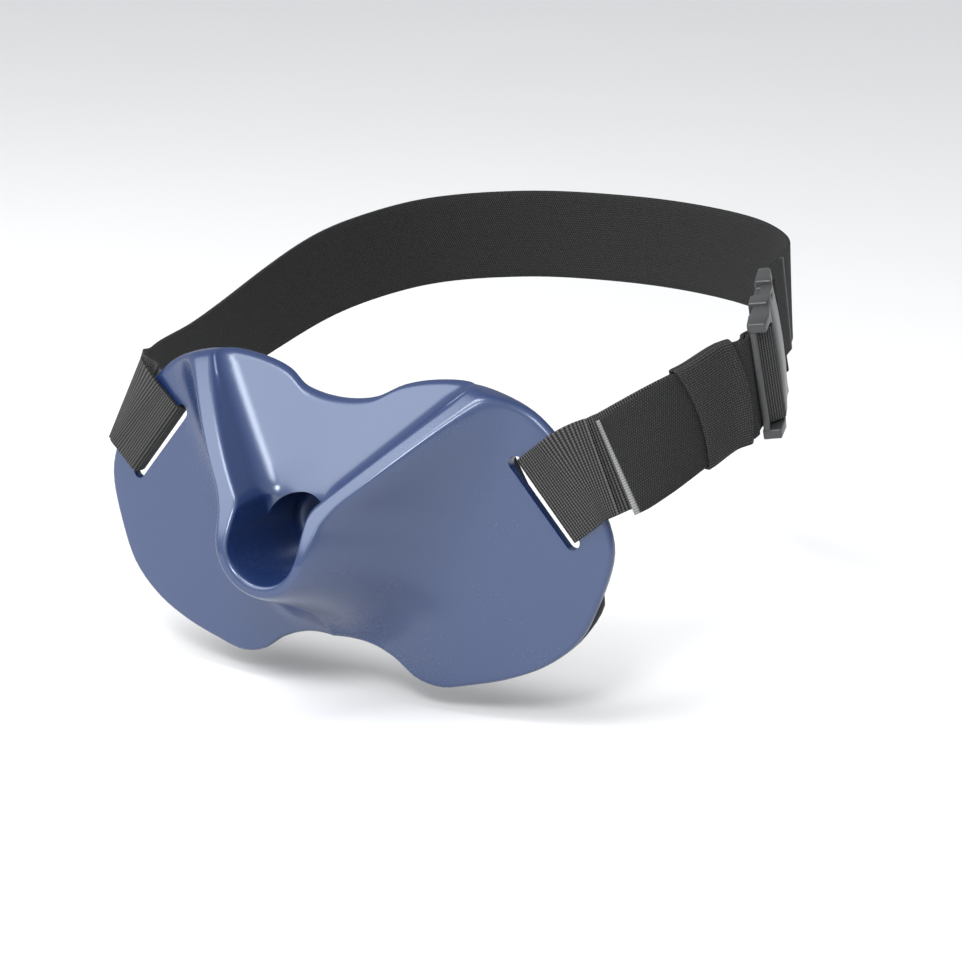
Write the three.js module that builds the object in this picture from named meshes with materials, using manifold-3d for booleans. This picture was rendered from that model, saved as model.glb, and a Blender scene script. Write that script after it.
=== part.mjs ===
// Fishing fighting belt: a moulded plate with a rod cup and a funnel over it, a foam back pad,
// webbing that goes round the waist, and a side-release buckle at the wearer's left hip.
// Millimetres, +Z up, +X to the wearer's left, -Y the way the rod cup faces.
import * as THREE from 'three';
import { mergeVertices } from 'three/addons/utils/BufferGeometryUtils.js';
import Module from 'manifold-3d';

const wasm = await Module();
wasm.setup();

// Plate
const PLATE_HALF_WIDTH = 150;
const PLATE_HEIGHT = 140;
const PLATE_WALL = 5;
const PLATE_CURVE_RADIUS = 860;
const PLATE_LEAN = 0.032;
const PLATE_LEVEL = 80;
const EDGE_ROUND = 2;

// Rod cup and the hood round it
const CUP_BORE_RADIUS = 20.3;
const CUP_RIM = 4.7;
const CUP_LEVEL = 66;
const CUP_REACH = 71.5;
const CUP_FLOOR = 5;
const CUP_FLOOR_ROUND = 4;
const BORE_DROP = 0.07;
const BORE_DROP_SPAN = 16;
const CREST_START = 8;
const CREST_RISE = 0.0986;
const CREST_POWER = 1.5;
const CREST_FALL = 0.05;
const CREST_ROUND = 2.4;
const ARM_WIDTH = 6.4;
const ARM_BLEND = 12;
const SHOULDER = 4;
const FLANK_WIDTH = 12;
const FLANK_SHARE = 0.45;
const FLANK_POWER = 2.2;

// Hollow between the arms: two side walls and a ramp behind them
const WALL_OFFSET = 3.5;
const WALL_BLEND = 3;
const WALL_WIDTH = 1.1;
const CREASE_ROUND = 7;
const CREASE_TIGHT = 0.15;
const RAMP_REACH = 31.5;
const RAMP_START = 84;
const RAMP_SLOPE = 0.78;
const RAMP_BLEND = 4;
const RAMP_HOLLOW = 5.5;

// Strap slots
const SLOT_LENGTH = 55;
const SLOT_WIDTH = 7.5;
const SLOT_SHARE_ACROSS = 0.766;
const SLOT_SHARE_UP = 0.6086;
const SLOT_TILT = 39.7;
const SLOT_RUN = 27;

// Back pad
const PAD_THICKNESS = 5;
const FIT_GAP = 0.3;
const PLATE_GAP = 0.5;

// Webbing
const WEB_WIDTH = 50;
const WEB_THICKNESS = 2;
const LOOP_HALF_WIDTH = 184;
const LOOP_DEPTH = 300;
const STRAP_RISE = 76;
const TAIL_END = 43;
const LOOP_END = 37;
const KEEPER_START = 88;
const KEEPER_WIDTH = 30;
const KEEPER_THICKNESS = 1.8;

// Buckle
const BUCKLE_ACROSS = 1;
const BUCKLE_BACK = 0.312;
const BUCKLE_RISE = 0.637;
const BUCKLE_TURN = 19;
const BUCKLE_TILT = 10;
const BUCKLE_LEAD = 9;
const BUCKLE_WIDTH = 62;
const BUCKLE_BAR = 4.5;
const BAR_THICKNESS = 3.2;
const YOKE_LENGTH = 24;
const YOKE_THICKNESS = 9;
const BODY_LENGTH = 48;
const BODY_THICKNESS = 13;
const RAIL = 3.8;
const RETURN_LENGTH = 38;

// The waist centre, measured from the bottom notch of the plate
const WAIST = new THREE.Vector3(0, 154, 110);

// Half outline of the plate, from the dip at the top round to the notch at the bottom
const PLATE_OUTLINE = [
  { across: 0, up: 0.889 }, { across: 0.133, up: 0.909 }, { across: 0.227, up: 0.959 },
  { across: 0.347, up: 0.99 }, { across: 0.487, up: 1 }, { across: 0.6, up: 0.977 },
  { across: 0.72, up: 0.92 }, { across: 0.827, up: 0.811 }, { across: 0.933, up: 0.657 },
  { across: 0.993, up: 0.514 }, { across: 1, up: 0.429 }, { across: 0.96, up: 0.272 },
  { across: 0.893, up: 0.121 }, { across: 0.787, up: 0.019 }, { across: 0.653, up: -0.05 },
  { across: 0.507, up: -0.096 }, { across: 0.4, up: -0.12 }, { across: 0.313, up: -0.101 },
  { across: 0.227, up: -0.039 }, { across: 0.12, up: 0.004 }, { across: 0, up: 0.014 },
];

// Half outline of the back pad: inside the slots above, flush with the plate below them
const PAD_OUTLINE = [
  { across: 0, up: 0.84 }, { across: 0.2, up: 0.885 }, { across: 0.4, up: 0.925 },
  { across: 0.53, up: 0.91 }, { across: 0.6, up: 0.8 }, { across: 0.7, up: 0.61 },
  { across: 0.8, up: 0.426 }, { across: 0.9, up: 0.345 }, { across: 0.955, up: 0.266 },
  { across: 0.893, up: 0.127 }, { across: 0.787, up: 0.022 }, { across: 0.653, up: -0.046 },
  { across: 0.507, up: -0.092 }, { across: 0.4, up: -0.116 }, { across: 0.313, up: -0.096 },
  { across: 0.227, up: -0.035 }, { across: 0.12, up: 0.008 }, { across: 0, up: 0.018 },
];

// Route of the webbing: from the plate's edge to the buckle, on round the back, and forward again
// on the wearer's right to the other edge of the plate
const HIP_ROUTE = [
  { across: 0.805, back: 0.072, rise: 0.301 }, { across: 0.886, back: 0.135, rise: 0.426 },
  { across: 0.937, back: 0.187, rise: 0.507 }, { across: 0.979, back: 0.25, rise: 0.582 },
];
const BACK_ROUTE = [
  { across: 0.76, back: 0.76, rise: 0.88 }, { across: 0.56, back: 0.9, rise: 0.9 },
  { across: 0.3, back: 0.975, rise: 0.9 }, { across: 0, back: 1, rise: 0.892 },
  { across: -0.337, back: 0.97, rise: 0.866 }, { across: -0.609, back: 0.873, rise: 0.8 },
  { across: -0.772, back: 0.717, rise: 0.668 }, { across: -0.85, back: 0.56, rise: 0.53 },
  { across: -0.872, back: 0.4, rise: 0.42 }, { across: -0.856, back: 0.26, rise: 0.35 },
  { across: -0.834, back: 0.157, rise: 0.31 }, { across: -0.8, back: 0.081, rise: 0.285 },
];

const BLUE = { color: 0x2b3f86, roughness: 0.42, metalness: 0 };
const WEBBING = { color: 0x17181a, roughness: 0.85, metalness: 0 };
const FOAM = { color: 0x141518, roughness: 0.9, metalness: 0 };
const BUCKLE_PLASTIC = { color: 0x1c1d20, roughness: 0.4, metalness: 0 };

const SLOT_ACROSS = SLOT_SHARE_ACROSS * PLATE_HALF_WIDTH;
const SLOT_LEVEL = SLOT_SHARE_UP * PLATE_HEIGHT;
const UP = new THREE.Vector3(0, 0, 1);

function smoothMin(a, b, blend) {
  const share = Math.max(blend - Math.abs(a - b), 0) / blend;
  return Math.min(a, b) - share * share * blend / 4;
}

function smoothMax(a, b, blend) {
  return -smoothMin(-a, -b, blend);
}

// Drop of a quarter round below its flat side, from 0 to 1 as the share goes from 0 to 1
function quarterRound(share) {
  return 1 - Math.sqrt(1 - THREE.MathUtils.clamp(share, 0, 1) ** 2);
}

// Front face of the bare plate, curved across and leaning a little
function plateFace(x, z) {
  return x * x / (2 * PLATE_CURVE_RADIUS) + PLATE_LEAN * (z - PLATE_LEVEL);
}

// How far forward the lip and the two arms reach at each height
function crestFace(z) {
  const above = z - CUP_LEVEL + CREST_START;
  const rise = above > 0 ? CREST_RISE * above ** CREST_POWER : CREST_FALL * above;
  return rise - CUP_REACH;
}

// Distance outside the hood: a round cup with two arms that open upwards at 45 degrees
function hoodDistance(across, z) {
  const above = z - CUP_LEVEL;
  const radius = CUP_BORE_RADIUS + CUP_RIM;
  const round = Math.hypot(across, above) - radius;
  const sides = Math.max(across - radius, -above);
  const arm = (across - above - WALL_OFFSET) / Math.SQRT2 - ARM_WIDTH;
  return smoothMin(round, smoothMin(sides, arm, ARM_BLEND), ARM_BLEND / 2);
}

// Distance into the hollow from its side walls, or from the bore below the cup's middle
function hollowDistance(across, z) {
  const above = z - CUP_LEVEL;
  const arm = (above + WALL_OFFSET - across) / Math.SQRT2;
  return above < 0
    ? CUP_BORE_RADIUS - Math.hypot(across, above)
    : smoothMax(CUP_BORE_RADIUS - across, arm, WALL_BLEND);
}

// The ramp that leads down into the cup, hollow across
function rampFace(across, z) {
  const above = z - CUP_LEVEL;
  const climb = RAMP_BLEND * Math.log1p(Math.exp((z - RAMP_START) / RAMP_BLEND));
  const share = across / Math.max(CUP_BORE_RADIUS, above + WALL_OFFSET);
  return RAMP_SLOPE * climb - RAMP_REACH - RAMP_HOLLOW * share * share * Math.min(above / CUP_BORE_RADIUS, 1);
}

// Face of the hood and its flanks, before the hollow is cut into it
function hoodFace(across, z) {
  const plate = plateFace(across, z);
  const height = smoothMax(plate - crestFace(z), 0, SHOULDER);
  const outside = Math.max(hoodDistance(across, z), 0);
  const rounded = Math.hypot(outside, SHOULDER) - SHOULDER;
  const width = FLANK_WIDTH + FLANK_SHARE * height;
  return plate - height * Math.max(1 - rounded / width, 0) ** FLANK_POWER;
}

// The hollow's side wall has a round crest above it and a round crease at its foot
function frontFace(x, z) {
  const across = Math.abs(x);
  const hood = hoodFace(across, z);
  const inside = hollowDistance(across, z);
  const depth = z < CUP_LEVEL ? CUP_REACH : Math.max(rampFace(across, z) - hood, 0);
  const share = Math.min(depth / (CREST_ROUND + CREASE_ROUND), 1);
  const crest = CREST_ROUND * share;
  const opened = THREE.MathUtils.clamp((z - CUP_LEVEL) / CUP_BORE_RADIUS, CREASE_TIGHT, 1);
  const crease = CREASE_ROUND * share * opened;
  if (inside <= -crest) {
    return hood;
  }
  if (inside <= 0) {
    return hood + crest * quarterRound(1 + inside / crest);
  }
  if (inside <= WALL_WIDTH) {
    return hood + crest + (depth - crest - crease) * inside / WALL_WIDTH;
  }
  return hood + depth - crease * quarterRound(1 - (inside - WALL_WIDTH) / crease);
}

function backFace(x, z) {
  const plate = plateFace(x, z);
  const sunk = Math.max(frontFace(x, z) - plate, 0);
  return plate + sunk * sunk / (sunk + 1) + PLATE_WALL;
}

// Whole outline from a half table, as a closed smooth curve seen from the front
function outlineCurve(table) {
  const right = table.map((row) => new THREE.Vector3(row.across * PLATE_HALF_WIDTH, 0, row.up * PLATE_HEIGHT));
  const left = right.slice(1, -1).reverse().map((point) => new THREE.Vector3(-point.x, 0, point.z));
  return new THREE.CatmullRomCurve3([...right, ...left], true, 'centripetal');
}

// Distance from the cup's axis to an outline, in a given direction
function outlineRadius(samples, angle) {
  const sine = Math.sin(angle);
  const cosine = Math.cos(angle);
  for (let i = 0; i < samples.length; i += 1) {
    const a = samples[i];
    const b = samples[(i + 1) % samples.length];
    const sideA = (a.z - CUP_LEVEL) * cosine - a.x * sine;
    const sideB = (b.z - CUP_LEVEL) * cosine - b.x * sine;
    if (sideA > 0 !== sideB > 0) {
      const share = sideA / (sideA - sideB);
      const x = a.x + (b.x - a.x) * share;
      const z = a.z + (b.z - a.z) * share - CUP_LEVEL;
      const radius = x * cosine + z * sine;
      if (radius > 0) {
        return radius;
      }
    }
  }
  throw new Error('the outline does not go round the cup');
}

// Values spread evenly over a span, without its end
function spread(from, to, steps, power = 1) {
  return Array.from({ length: steps }, (unused, i) => from + (to - from) * (i / steps) ** power);
}

// A half turn from straight down to straight up, and its mirror image on the other side
function wholeTurn(half) {
  return [...half, ...half.slice(1, -1).reverse().map((angle) => Math.PI - angle)];
}

// Lines of the plate's mesh round the cup: the lowest keep their direction, a group keeps its
// distance from the hollow's side wall, and the rest are spread between
const LOWEST_TURN = THREE.MathUtils.degToRad(-60);
const LOWEST_LINES = 6;
const SIDE_LINES = 17;
const SIDE_CROWDING = 0.85;
const WALL_LINES = [
  -2 * ARM_WIDTH, -1.5 * ARM_WIDTH, -ARM_WIDTH, -(ARM_WIDTH + CREST_ROUND) / 2, -CREST_ROUND, -CREST_ROUND / 2,
  0, WALL_WIDTH, WALL_WIDTH + CREASE_ROUND / 5, WALL_WIDTH + CREASE_ROUND / 2, WALL_WIDTH + CREASE_ROUND,
  WALL_WIDTH + 1.6 * CREASE_ROUND,
];
const TOP_LINES = 8;

// Direction at which a circle round the cup is at a given distance inside the hollow
function wallTurn(radius, distance) {
  let low = 0;
  let high = Math.PI / 2;
  for (let step = 0; step < 40; step += 1) {
    const middle = (low + high) / 2;
    if (hollowDistance(radius * Math.cos(middle), CUP_LEVEL + radius * Math.sin(middle)) < distance) {
      low = middle;
    } else {
      high = middle;
    }
  }
  return low;
}

function meshTurns(radius) {
  const size = Math.max(radius, CUP_BORE_RADIUS);
  const wall = WALL_LINES.map((distance) => wallTurn(size, Math.max(distance, 0)) + Math.min(distance, 0) / size);
  return wholeTurn([
    ...spread(-Math.PI / 2, LOWEST_TURN, LOWEST_LINES),
    ...spread(LOWEST_TURN, wall[0], SIDE_LINES, SIDE_CROWDING),
    ...wall,
    ...spread(Math.PI / 2, wall[wall.length - 1], TOP_LINES).reverse(),
  ]);
}

// Where each line of the plate's mesh meets the outline
function lineEnds(samples) {
  return meshTurns(PLATE_HALF_WIDTH).map((unused, i) => {
    let radius = PLATE_HALF_WIDTH;
    for (let step = 0; step < 12; step += 1) {
      radius = outlineRadius(samples, meshTurns(radius)[i]);
    }
    return radius;
  });
}

// A closed skin from rings of points, with a point at each end
function closedSkin(first, rings, last) {
  const count = rings[0].length;
  const points = [first, ...rings.flat(), last];
  const index = [];
  for (let i = 0; i < count; i += 1) {
    const next = (i + 1) % count;
    index.push(0, 1 + next, 1 + i);
    for (let ring = 0; ring + 1 < rings.length; ring += 1) {
      const a = 1 + ring * count;
      const b = a + count;
      index.push(a + i, a + next, b + next, a + i, b + next, b + i);
    }
    const end = 1 + (rings.length - 1) * count;
    index.push(end + i, end + next, points.length - 1);
  }
  return solidGeometry(points, index);
}

function solidGeometry(points, index) {
  const geometry = new THREE.BufferGeometry();
  geometry.setAttribute('position', new THREE.Float32BufferAttribute(points.flatMap((p) => [p.x, p.y, p.z]), 3));
  geometry.setIndex(index);
  return signedVolume(geometry) < 0 ? turnedOut(geometry) : geometry;
}

function signedVolume(geometry) {
  const position = geometry.getAttribute('position');
  const index = geometry.getIndex();
  const corners = [new THREE.Vector3(), new THREE.Vector3(), new THREE.Vector3()];
  let sum = 0;
  for (let i = 0; i < index.count; i += 3) {
    corners.forEach((corner, k) => corner.fromBufferAttribute(position, index.getX(i + k)));
    sum += corners[0].dot(corners[1].clone().cross(corners[2]));
  }
  return sum;
}

function turnedOut(geometry) {
  const index = Array.from(geometry.getIndex().array);
  for (let i = 0; i < index.length; i += 3) {
    [index[i + 1], index[i + 2]] = [index[i + 2], index[i + 1]];
  }
  return geometry.setIndex(index);
}

function toManifold(geometry) {
  const bare = geometry.clone();
  bare.deleteAttribute('normal');
  bare.deleteAttribute('uv');
  const merged = mergeVertices(bare, 1e-4);
  return new wasm.Manifold(new wasm.Mesh({
    numProp: 3,
    vertProperties: new Float32Array(merged.getAttribute('position').array),
    triVerts: new Uint32Array(merged.getIndex().array),
  }));
}

function fromManifold(solid) {
  const mesh = solid.getMesh();
  const geometry = new THREE.BufferGeometry();
  geometry.setAttribute('position', new THREE.BufferAttribute(new Float32Array(mesh.vertProperties), 3));
  geometry.setIndex(Array.from(mesh.triVerts));
  return geometry;
}

function cut(geometry, ...tools) {
  return fromManifold(tools.reduce((solid, tool) => solid.subtract(toManifold(tool)), toManifold(geometry)));
}

function join(...geometries) {
  return fromManifold(geometries.map(toManifold).reduce((a, b) => a.add(b)));
}

function namedMesh(name, geometry, finish) {
  const mesh = new THREE.Mesh(geometry, new THREE.MeshStandardMaterial(finish));
  mesh.name = name;
  return mesh;
}

// Stadium-ended slot cutter, run through the plate along Y
function slotCutter(side) {
  const shape = new THREE.Shape();
  const straight = (SLOT_LENGTH - SLOT_WIDTH) / 2;
  shape.absarc(0, straight, SLOT_WIDTH / 2, 0, Math.PI);
  shape.absarc(0, -straight, SLOT_WIDTH / 2, Math.PI, 2 * Math.PI);
  const reach = 60;
  const geometry = new THREE.ExtrudeGeometry(shape, { depth: reach, bevelEnabled: false, curveSegments: 6 });
  geometry.rotateZ(side * THREE.MathUtils.degToRad(SLOT_TILT));
  geometry.rotateX(Math.PI / 2);
  geometry.translate(side * SLOT_ACROSS, reach / 2, SLOT_LEVEL);
  return geometry;
}

const LIP_SHARES = [0, 0.15, 0.45, 1];
const FRONT_RINGS = 22;
const RING_CROWDING = 1.5;
const BACK_SHARES = [0.95, 0.8, 0.6, 0.4, 0.2];

// How far the bore's axis lies below the cup's level, fading out beyond the lip
function boreDrop(radius, y) {
  const fade = THREE.MathUtils.clamp(1 - (radius - CUP_BORE_RADIUS) / BORE_DROP_SPAN, 0, 1);
  return BORE_DROP * Math.max(y + CUP_REACH, 0) * fade * fade;
}

function buildPlate() {
  const reach = lineEnds(outlineCurve(PLATE_OUTLINE).getPoints(420));
  const at = (i, radius, y = 0) => {
    const turn = meshTurns(radius)[i];
    return new THREE.Vector3(radius * Math.cos(turn), y, CUP_LEVEL + radius * Math.sin(turn));
  };
  const onFace = (i, radius, face, sink = 0) => {
    const point = at(i, radius);
    return point.setY(face(point.x, point.z) + sink);
  };
  const dropped = (point, radius) => point.setZ(point.z - boreDrop(radius, point.y));
  const ring = (make) => reach.map((end, i) => make(i, end));
  const inBore = (inset, y) => ring((i) => dropped(at(i, CUP_BORE_RADIUS - inset, y), CUP_BORE_RADIUS));
  const rings = [
    inBore(CUP_FLOOR_ROUND, -CUP_FLOOR),
    inBore(CUP_FLOOR_ROUND / 3, -CUP_FLOOR - CUP_FLOOR_ROUND / 3),
    inBore(0, -CUP_FLOOR - CUP_FLOOR_ROUND),
  ];
  const lip = LIP_SHARES.map((share) => CUP_BORE_RADIUS + CREST_ROUND * share);
  const lipEnd = lip[lip.length - 1];
  for (const radius of lip) {
    rings.push(ring((i) => dropped(onFace(i, radius, frontFace), radius)));
  }
  for (let k = 1; k <= FRONT_RINGS; k += 1) {
    const share = Math.expm1(RING_CROWDING * k / FRONT_RINGS) / Math.expm1(RING_CROWDING);
    rings.push(ring((i, end) => {
      const radius = lipEnd + (end - EDGE_ROUND - lipEnd) * share;
      return dropped(onFace(i, radius, frontFace), radius);
    }));
  }
  rings.push(ring((i, end) => onFace(i, end - EDGE_ROUND * 0.3, frontFace, EDGE_ROUND * 0.3)));
  rings.push(ring((i, end) => onFace(i, end, frontFace, EDGE_ROUND)));
  rings.push(ring((i, end) => onFace(i, end, backFace, -EDGE_ROUND)));
  rings.push(ring((i, end) => onFace(i, end - EDGE_ROUND, backFace)));
  for (const share of BACK_SHARES) {
    rings.push(ring((i, end) => onFace(i, end * share, backFace)));
  }
  const cupEnd = dropped(new THREE.Vector3(0, -CUP_FLOOR, CUP_LEVEL), 0);
  const backEnd = new THREE.Vector3(0, backFace(0, CUP_LEVEL), CUP_LEVEL);
  const plate = closedSkin(cupEnd, rings, backEnd);
  return namedMesh('cup_plate', cut(plate, slotCutter(1), slotCutter(-1)), BLUE);
}

const PAD_SHARES = [0.3, 0.6, 0.85];
const PAD_TURNS = wholeTurn([
  ...spread(-90, -50, 6), ...spread(-50, 10, 6), ...spread(10, 66, 10), ...spread(66, 90, 3), 90,
].map(THREE.MathUtils.degToRad));

// The pad's front is the plate's back, moved off it by the fitting gap
function buildPad(plate) {
  const samples = outlineCurve(PAD_OUTLINE).getPoints(300);
  const turn = PAD_TURNS;
  const reach = turn.map((angle) => outlineRadius(samples, angle));
  const layer = (share, inset, deep) => turn.map((angle, i) => {
    const radius = (reach[i] - inset) * share;
    const x = radius * Math.cos(angle);
    const z = CUP_LEVEL + radius * Math.sin(angle);
    return new THREE.Vector3(x, backFace(x, z) + FIT_GAP + deep, z);
  });
  const bedded = -PLATE_WALL / 4;
  const rings = [
    ...PAD_SHARES.map((share) => layer(share, EDGE_ROUND, bedded)),
    layer(1, 0, bedded),
    layer(1, 0, PAD_THICKNESS - EDGE_ROUND),
    layer(1, EDGE_ROUND, PAD_THICKNESS),
    ...[...PAD_SHARES].reverse().map((share) => layer(share, EDGE_ROUND, PAD_THICKNESS)),
  ];
  const back = new THREE.Vector3(0, backFace(0, CUP_LEVEL) + FIT_GAP + PAD_THICKNESS, CUP_LEVEL);
  const front = back.clone().setY(back.y - PAD_THICKNESS + bedded);
  const bed = plate.geometry.clone().translate(0, FIT_GAP, 0);
  return namedMesh('back_pad', cut(closedSkin(front, rings, back), bed), FOAM);
}

// A point of the webbing's middle on the front of the plate, beyond the slot on the wearer's left
function onPlate(distance) {
  const tilt = THREE.MathUtils.degToRad(SLOT_TILT);
  const x = SLOT_ACROSS + distance * Math.cos(tilt);
  const z = SLOT_LEVEL + distance * Math.sin(tilt);
  return new THREE.Vector3(x, plateFace(x, z) - PLATE_GAP - WEB_THICKNESS / 2, z);
}

function onRoute({ across, back, rise }) {
  return new THREE.Vector3(across * LOOP_HALF_WIDTH, back * LOOP_DEPTH, SLOT_LEVEL + rise * STRAP_RISE);
}

// The buckle is rigid, so the route is straight from a little before it to a little past it
const BUCKLE_LENGTH = YOKE_LENGTH + BODY_LENGTH;
const BAR_POINT = onRoute({ across: BUCKLE_ACROSS, back: BUCKLE_BACK, rise: BUCKLE_RISE });
const BUCKLE_AXIS = new THREE.Vector3(0, 1, 0)
  .applyAxisAngle(new THREE.Vector3(1, 0, 0), THREE.MathUtils.degToRad(BUCKLE_TILT))
  .applyAxisAngle(UP, THREE.MathUtils.degToRad(BUCKLE_TURN));

function alongBuckle(distance) {
  return BAR_POINT.clone().addScaledVector(BUCKLE_AXIS, distance);
}

// The whole loop, from the slot on the wearer's left round the back to the slot on the right
const PLATE_ROUTE = [onPlate(0), onPlate(SLOT_RUN / 2), onPlate(SLOT_RUN)];
const ROUTE = new THREE.CatmullRomCurve3([
  ...PLATE_ROUTE,
  ...HIP_ROUTE.map(onRoute),
  alongBuckle(-BUCKLE_LEAD), alongBuckle(0), alongBuckle(BUCKLE_LENGTH / 2),
  alongBuckle(BUCKLE_LENGTH), alongBuckle(BUCKLE_LENGTH + BUCKLE_LEAD),
  ...BACK_ROUTE.map(onRoute),
  ...[...PLATE_ROUTE].reverse().map((point) => new THREE.Vector3(-point.x, point.y, point.z)),
], false, 'centripetal');
ROUTE.arcLengthDivisions = 1600;
const LOOP_LENGTH = ROUTE.getLength();

// How far along the route a point of it lies
function distanceAlong(target) {
  const count = 2000;
  let best = { gap: Infinity, along: 0 };
  for (let i = 0; i <= count; i += 1) {
    const gap = ROUTE.getPointAt(i / count / 2).distanceTo(target);
    best = gap < best.gap ? { gap, along: LOOP_LENGTH * i / count / 2 } : best;
  }
  return best.along;
}

const BUCKLE_START = distanceAlong(BAR_POINT);

// Place on the route: a point, the way along, the way across the webbing and the way outwards.
// Over the plate the webbing lies on its face, and further on it stands upright.
function routeFrame(along) {
  const share = THREE.MathUtils.clamp(along / LOOP_LENGTH, 0, 1);
  const tangent = ROUTE.getTangentAt(share);
  const point = ROUTE.getPointAt(share).addScaledVector(tangent, along - share * LOOP_LENGTH);
  const upright = tangent.clone().cross(UP).normalize();
  const flat = new THREE.Vector3(point.x / PLATE_CURVE_RADIUS, -1, PLATE_LEAN);
  const fromSlot = Math.min(along, LOOP_LENGTH - along);
  const lift = THREE.MathUtils.smoothstep(fromSlot, SLOT_RUN, 4 * SLOT_RUN);
  const outward = flat.normalize().lerp(upright, lift);
  outward.addScaledVector(tangent, -outward.dot(tangent)).normalize();
  return { point, tangent, width: outward.clone().cross(tangent), outward };
}

// A ribbon along a profile of places on the route and distances out of it
function ribbon(profile, width, thickness) {
  const centres = profile.map(({ along, out }) => {
    const frame = routeFrame(along);
    return { place: frame.point.clone().addScaledVector(frame.outward, out), width: frame.width };
  });
  const rings = centres.map(({ place, width: across }, i) => {
    const before = centres[Math.max(i - 1, 0)].place;
    const after = centres[Math.min(i + 1, centres.length - 1)].place;
    const face = after.clone().sub(before).cross(across).normalize();
    const corner = (w, t) => place.clone().addScaledVector(across, w * width / 2).addScaledVector(face, t * thickness / 2);
    return [corner(1, 1), corner(-1, 1), corner(-1, -1), corner(1, -1)];
  });
  const middle = (ring) => ring.reduce((sum, p) => sum.add(p), new THREE.Vector3()).multiplyScalar(1 / ring.length);
  return closedSkin(middle(rings[0]), rings, middle(rings[rings.length - 1]));
}

// Straight stretch of a profile, stopping at places that every ribbon on the route shares
const STATION = 7;

function run(from, to) {
  const length = to.along - from.along;
  const way = Math.sign(length);
  const stops = [from.along];
  const margin = STATION / 4;
  for (let stop = Math.ceil(Math.min(from.along, to.along) / STATION) * STATION;
    stop < Math.max(from.along, to.along); stop += STATION) {
    if (Math.abs(stop - from.along) > margin && Math.abs(stop - to.along) > margin) {
      stops.push(stop);
    }
  }
  stops.push(to.along);
  stops.sort((a, b) => way * (a - b));
  return stops.map((along) => ({ along, out: from.out + (to.out - from.out) * (along - from.along) / length }));
}

// Half turn of a profile round an edge that lies between two layers
function foldBack(along, outFrom, outTo, reach, steps = 6) {
  return Array.from({ length: steps + 1 }, (unused, i) => {
    const angle = Math.PI * i / steps;
    return {
      along: along + reach * Math.sin(angle),
      out: (outFrom + outTo) / 2 + (outFrom - outTo) / 2 * Math.cos(angle),
    };
  });
}

const LAYER = WEB_THICKNESS + FIT_GAP;
const BEHIND_PLATE = -(PLATE_WALL + WEB_THICKNESS + 3 * PLATE_GAP);
const BAR_MIDDLE = -LAYER / 2;
const BAR_LAYER = (BAR_THICKNESS + WEB_THICKNESS) / 2 + FIT_GAP;
const FOLD_REACH = 2.2;
const SEAM = 9;

// How far the plate reaches beyond the slot, over the width of the webbing
function plateMargin() {
  const tilt = THREE.MathUtils.degToRad(SLOT_TILT);
  const offsets = outlineCurve(PLATE_OUTLINE).getPoints(420).map((point) => {
    const x = point.x - SLOT_ACROSS;
    const z = point.z - SLOT_LEVEL;
    return { out: x * Math.cos(tilt) + z * Math.sin(tilt), side: z * Math.cos(tilt) - x * Math.sin(tilt) };
  });
  const beside = offsets.filter(({ out, side }) => out > 0 && Math.abs(side) < WEB_WIDTH / 2 + 1);
  return Math.max(...beside.map(({ out }) => out)) + WEB_THICKNESS;
}

const PLATE_MARGIN = plateMargin();

// Webbing folded through a slot: on the front of the plate, through it and away behind it
function slotFold() {
  const edge = SLOT_WIDTH / 2 + 0.25;
  return [
    ...run({ along: LOOP_END, out: 0 }, { along: edge, out: 0 }),
    ...foldBack(edge, 0, BEHIND_PLATE, -FOLD_REACH).slice(1, -1),
    ...run({ along: edge, out: BEHIND_PLATE }, { along: PLATE_MARGIN, out: BEHIND_PLATE }),
    { along: PLATE_MARGIN + SEAM, out: -LAYER },
  ];
}

function buildRightStrap() {
  const bar = BUCKLE_START + BUCKLE_BAR;
  const profile = [
    ...slotFold(),
    ...run({ along: PLATE_MARGIN + 2 * SEAM, out: -LAYER }, { along: BUCKLE_START - SEAM, out: -LAYER }),
    { along: BUCKLE_START, out: BAR_MIDDLE - BAR_LAYER },
    ...foldBack(bar, BAR_MIDDLE - BAR_LAYER, BAR_MIDDLE + BAR_LAYER, FOLD_REACH),
    { along: BUCKLE_START, out: BAR_MIDDLE + BAR_LAYER },
    ...run({ along: BUCKLE_START - SEAM, out: 0 }, { along: TAIL_END, out: 0 }),
  ];
  return namedMesh('strap_left_hip', ribbon(profile, WEB_WIDTH, WEB_THICKNESS), WEBBING);
}

function buildBackStrap() {
  const bar = BUCKLE_START + BUCKLE_LENGTH - BUCKLE_BAR;
  const after = bar + BUCKLE_BAR;
  const mirrored = slotFold().map(({ along, out }) => ({ along: LOOP_LENGTH - along, out })).reverse();
  const profile = [
    ...run({ along: after + RETURN_LENGTH, out: 0 }, { along: after + SEAM, out: 0 }),
    { along: after, out: BAR_MIDDLE + BAR_LAYER },
    ...foldBack(bar, BAR_MIDDLE + BAR_LAYER, BAR_MIDDLE - BAR_LAYER, -FOLD_REACH),
    { along: after, out: BAR_MIDDLE - BAR_LAYER },
    ...run({ along: after + SEAM, out: -LAYER }, { along: LOOP_LENGTH - PLATE_MARGIN - 2 * SEAM, out: -LAYER }),
    ...mirrored,
  ];
  return namedMesh('strap_round_back', ribbon(profile, WEB_WIDTH, WEB_THICKNESS), WEBBING);
}

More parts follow.
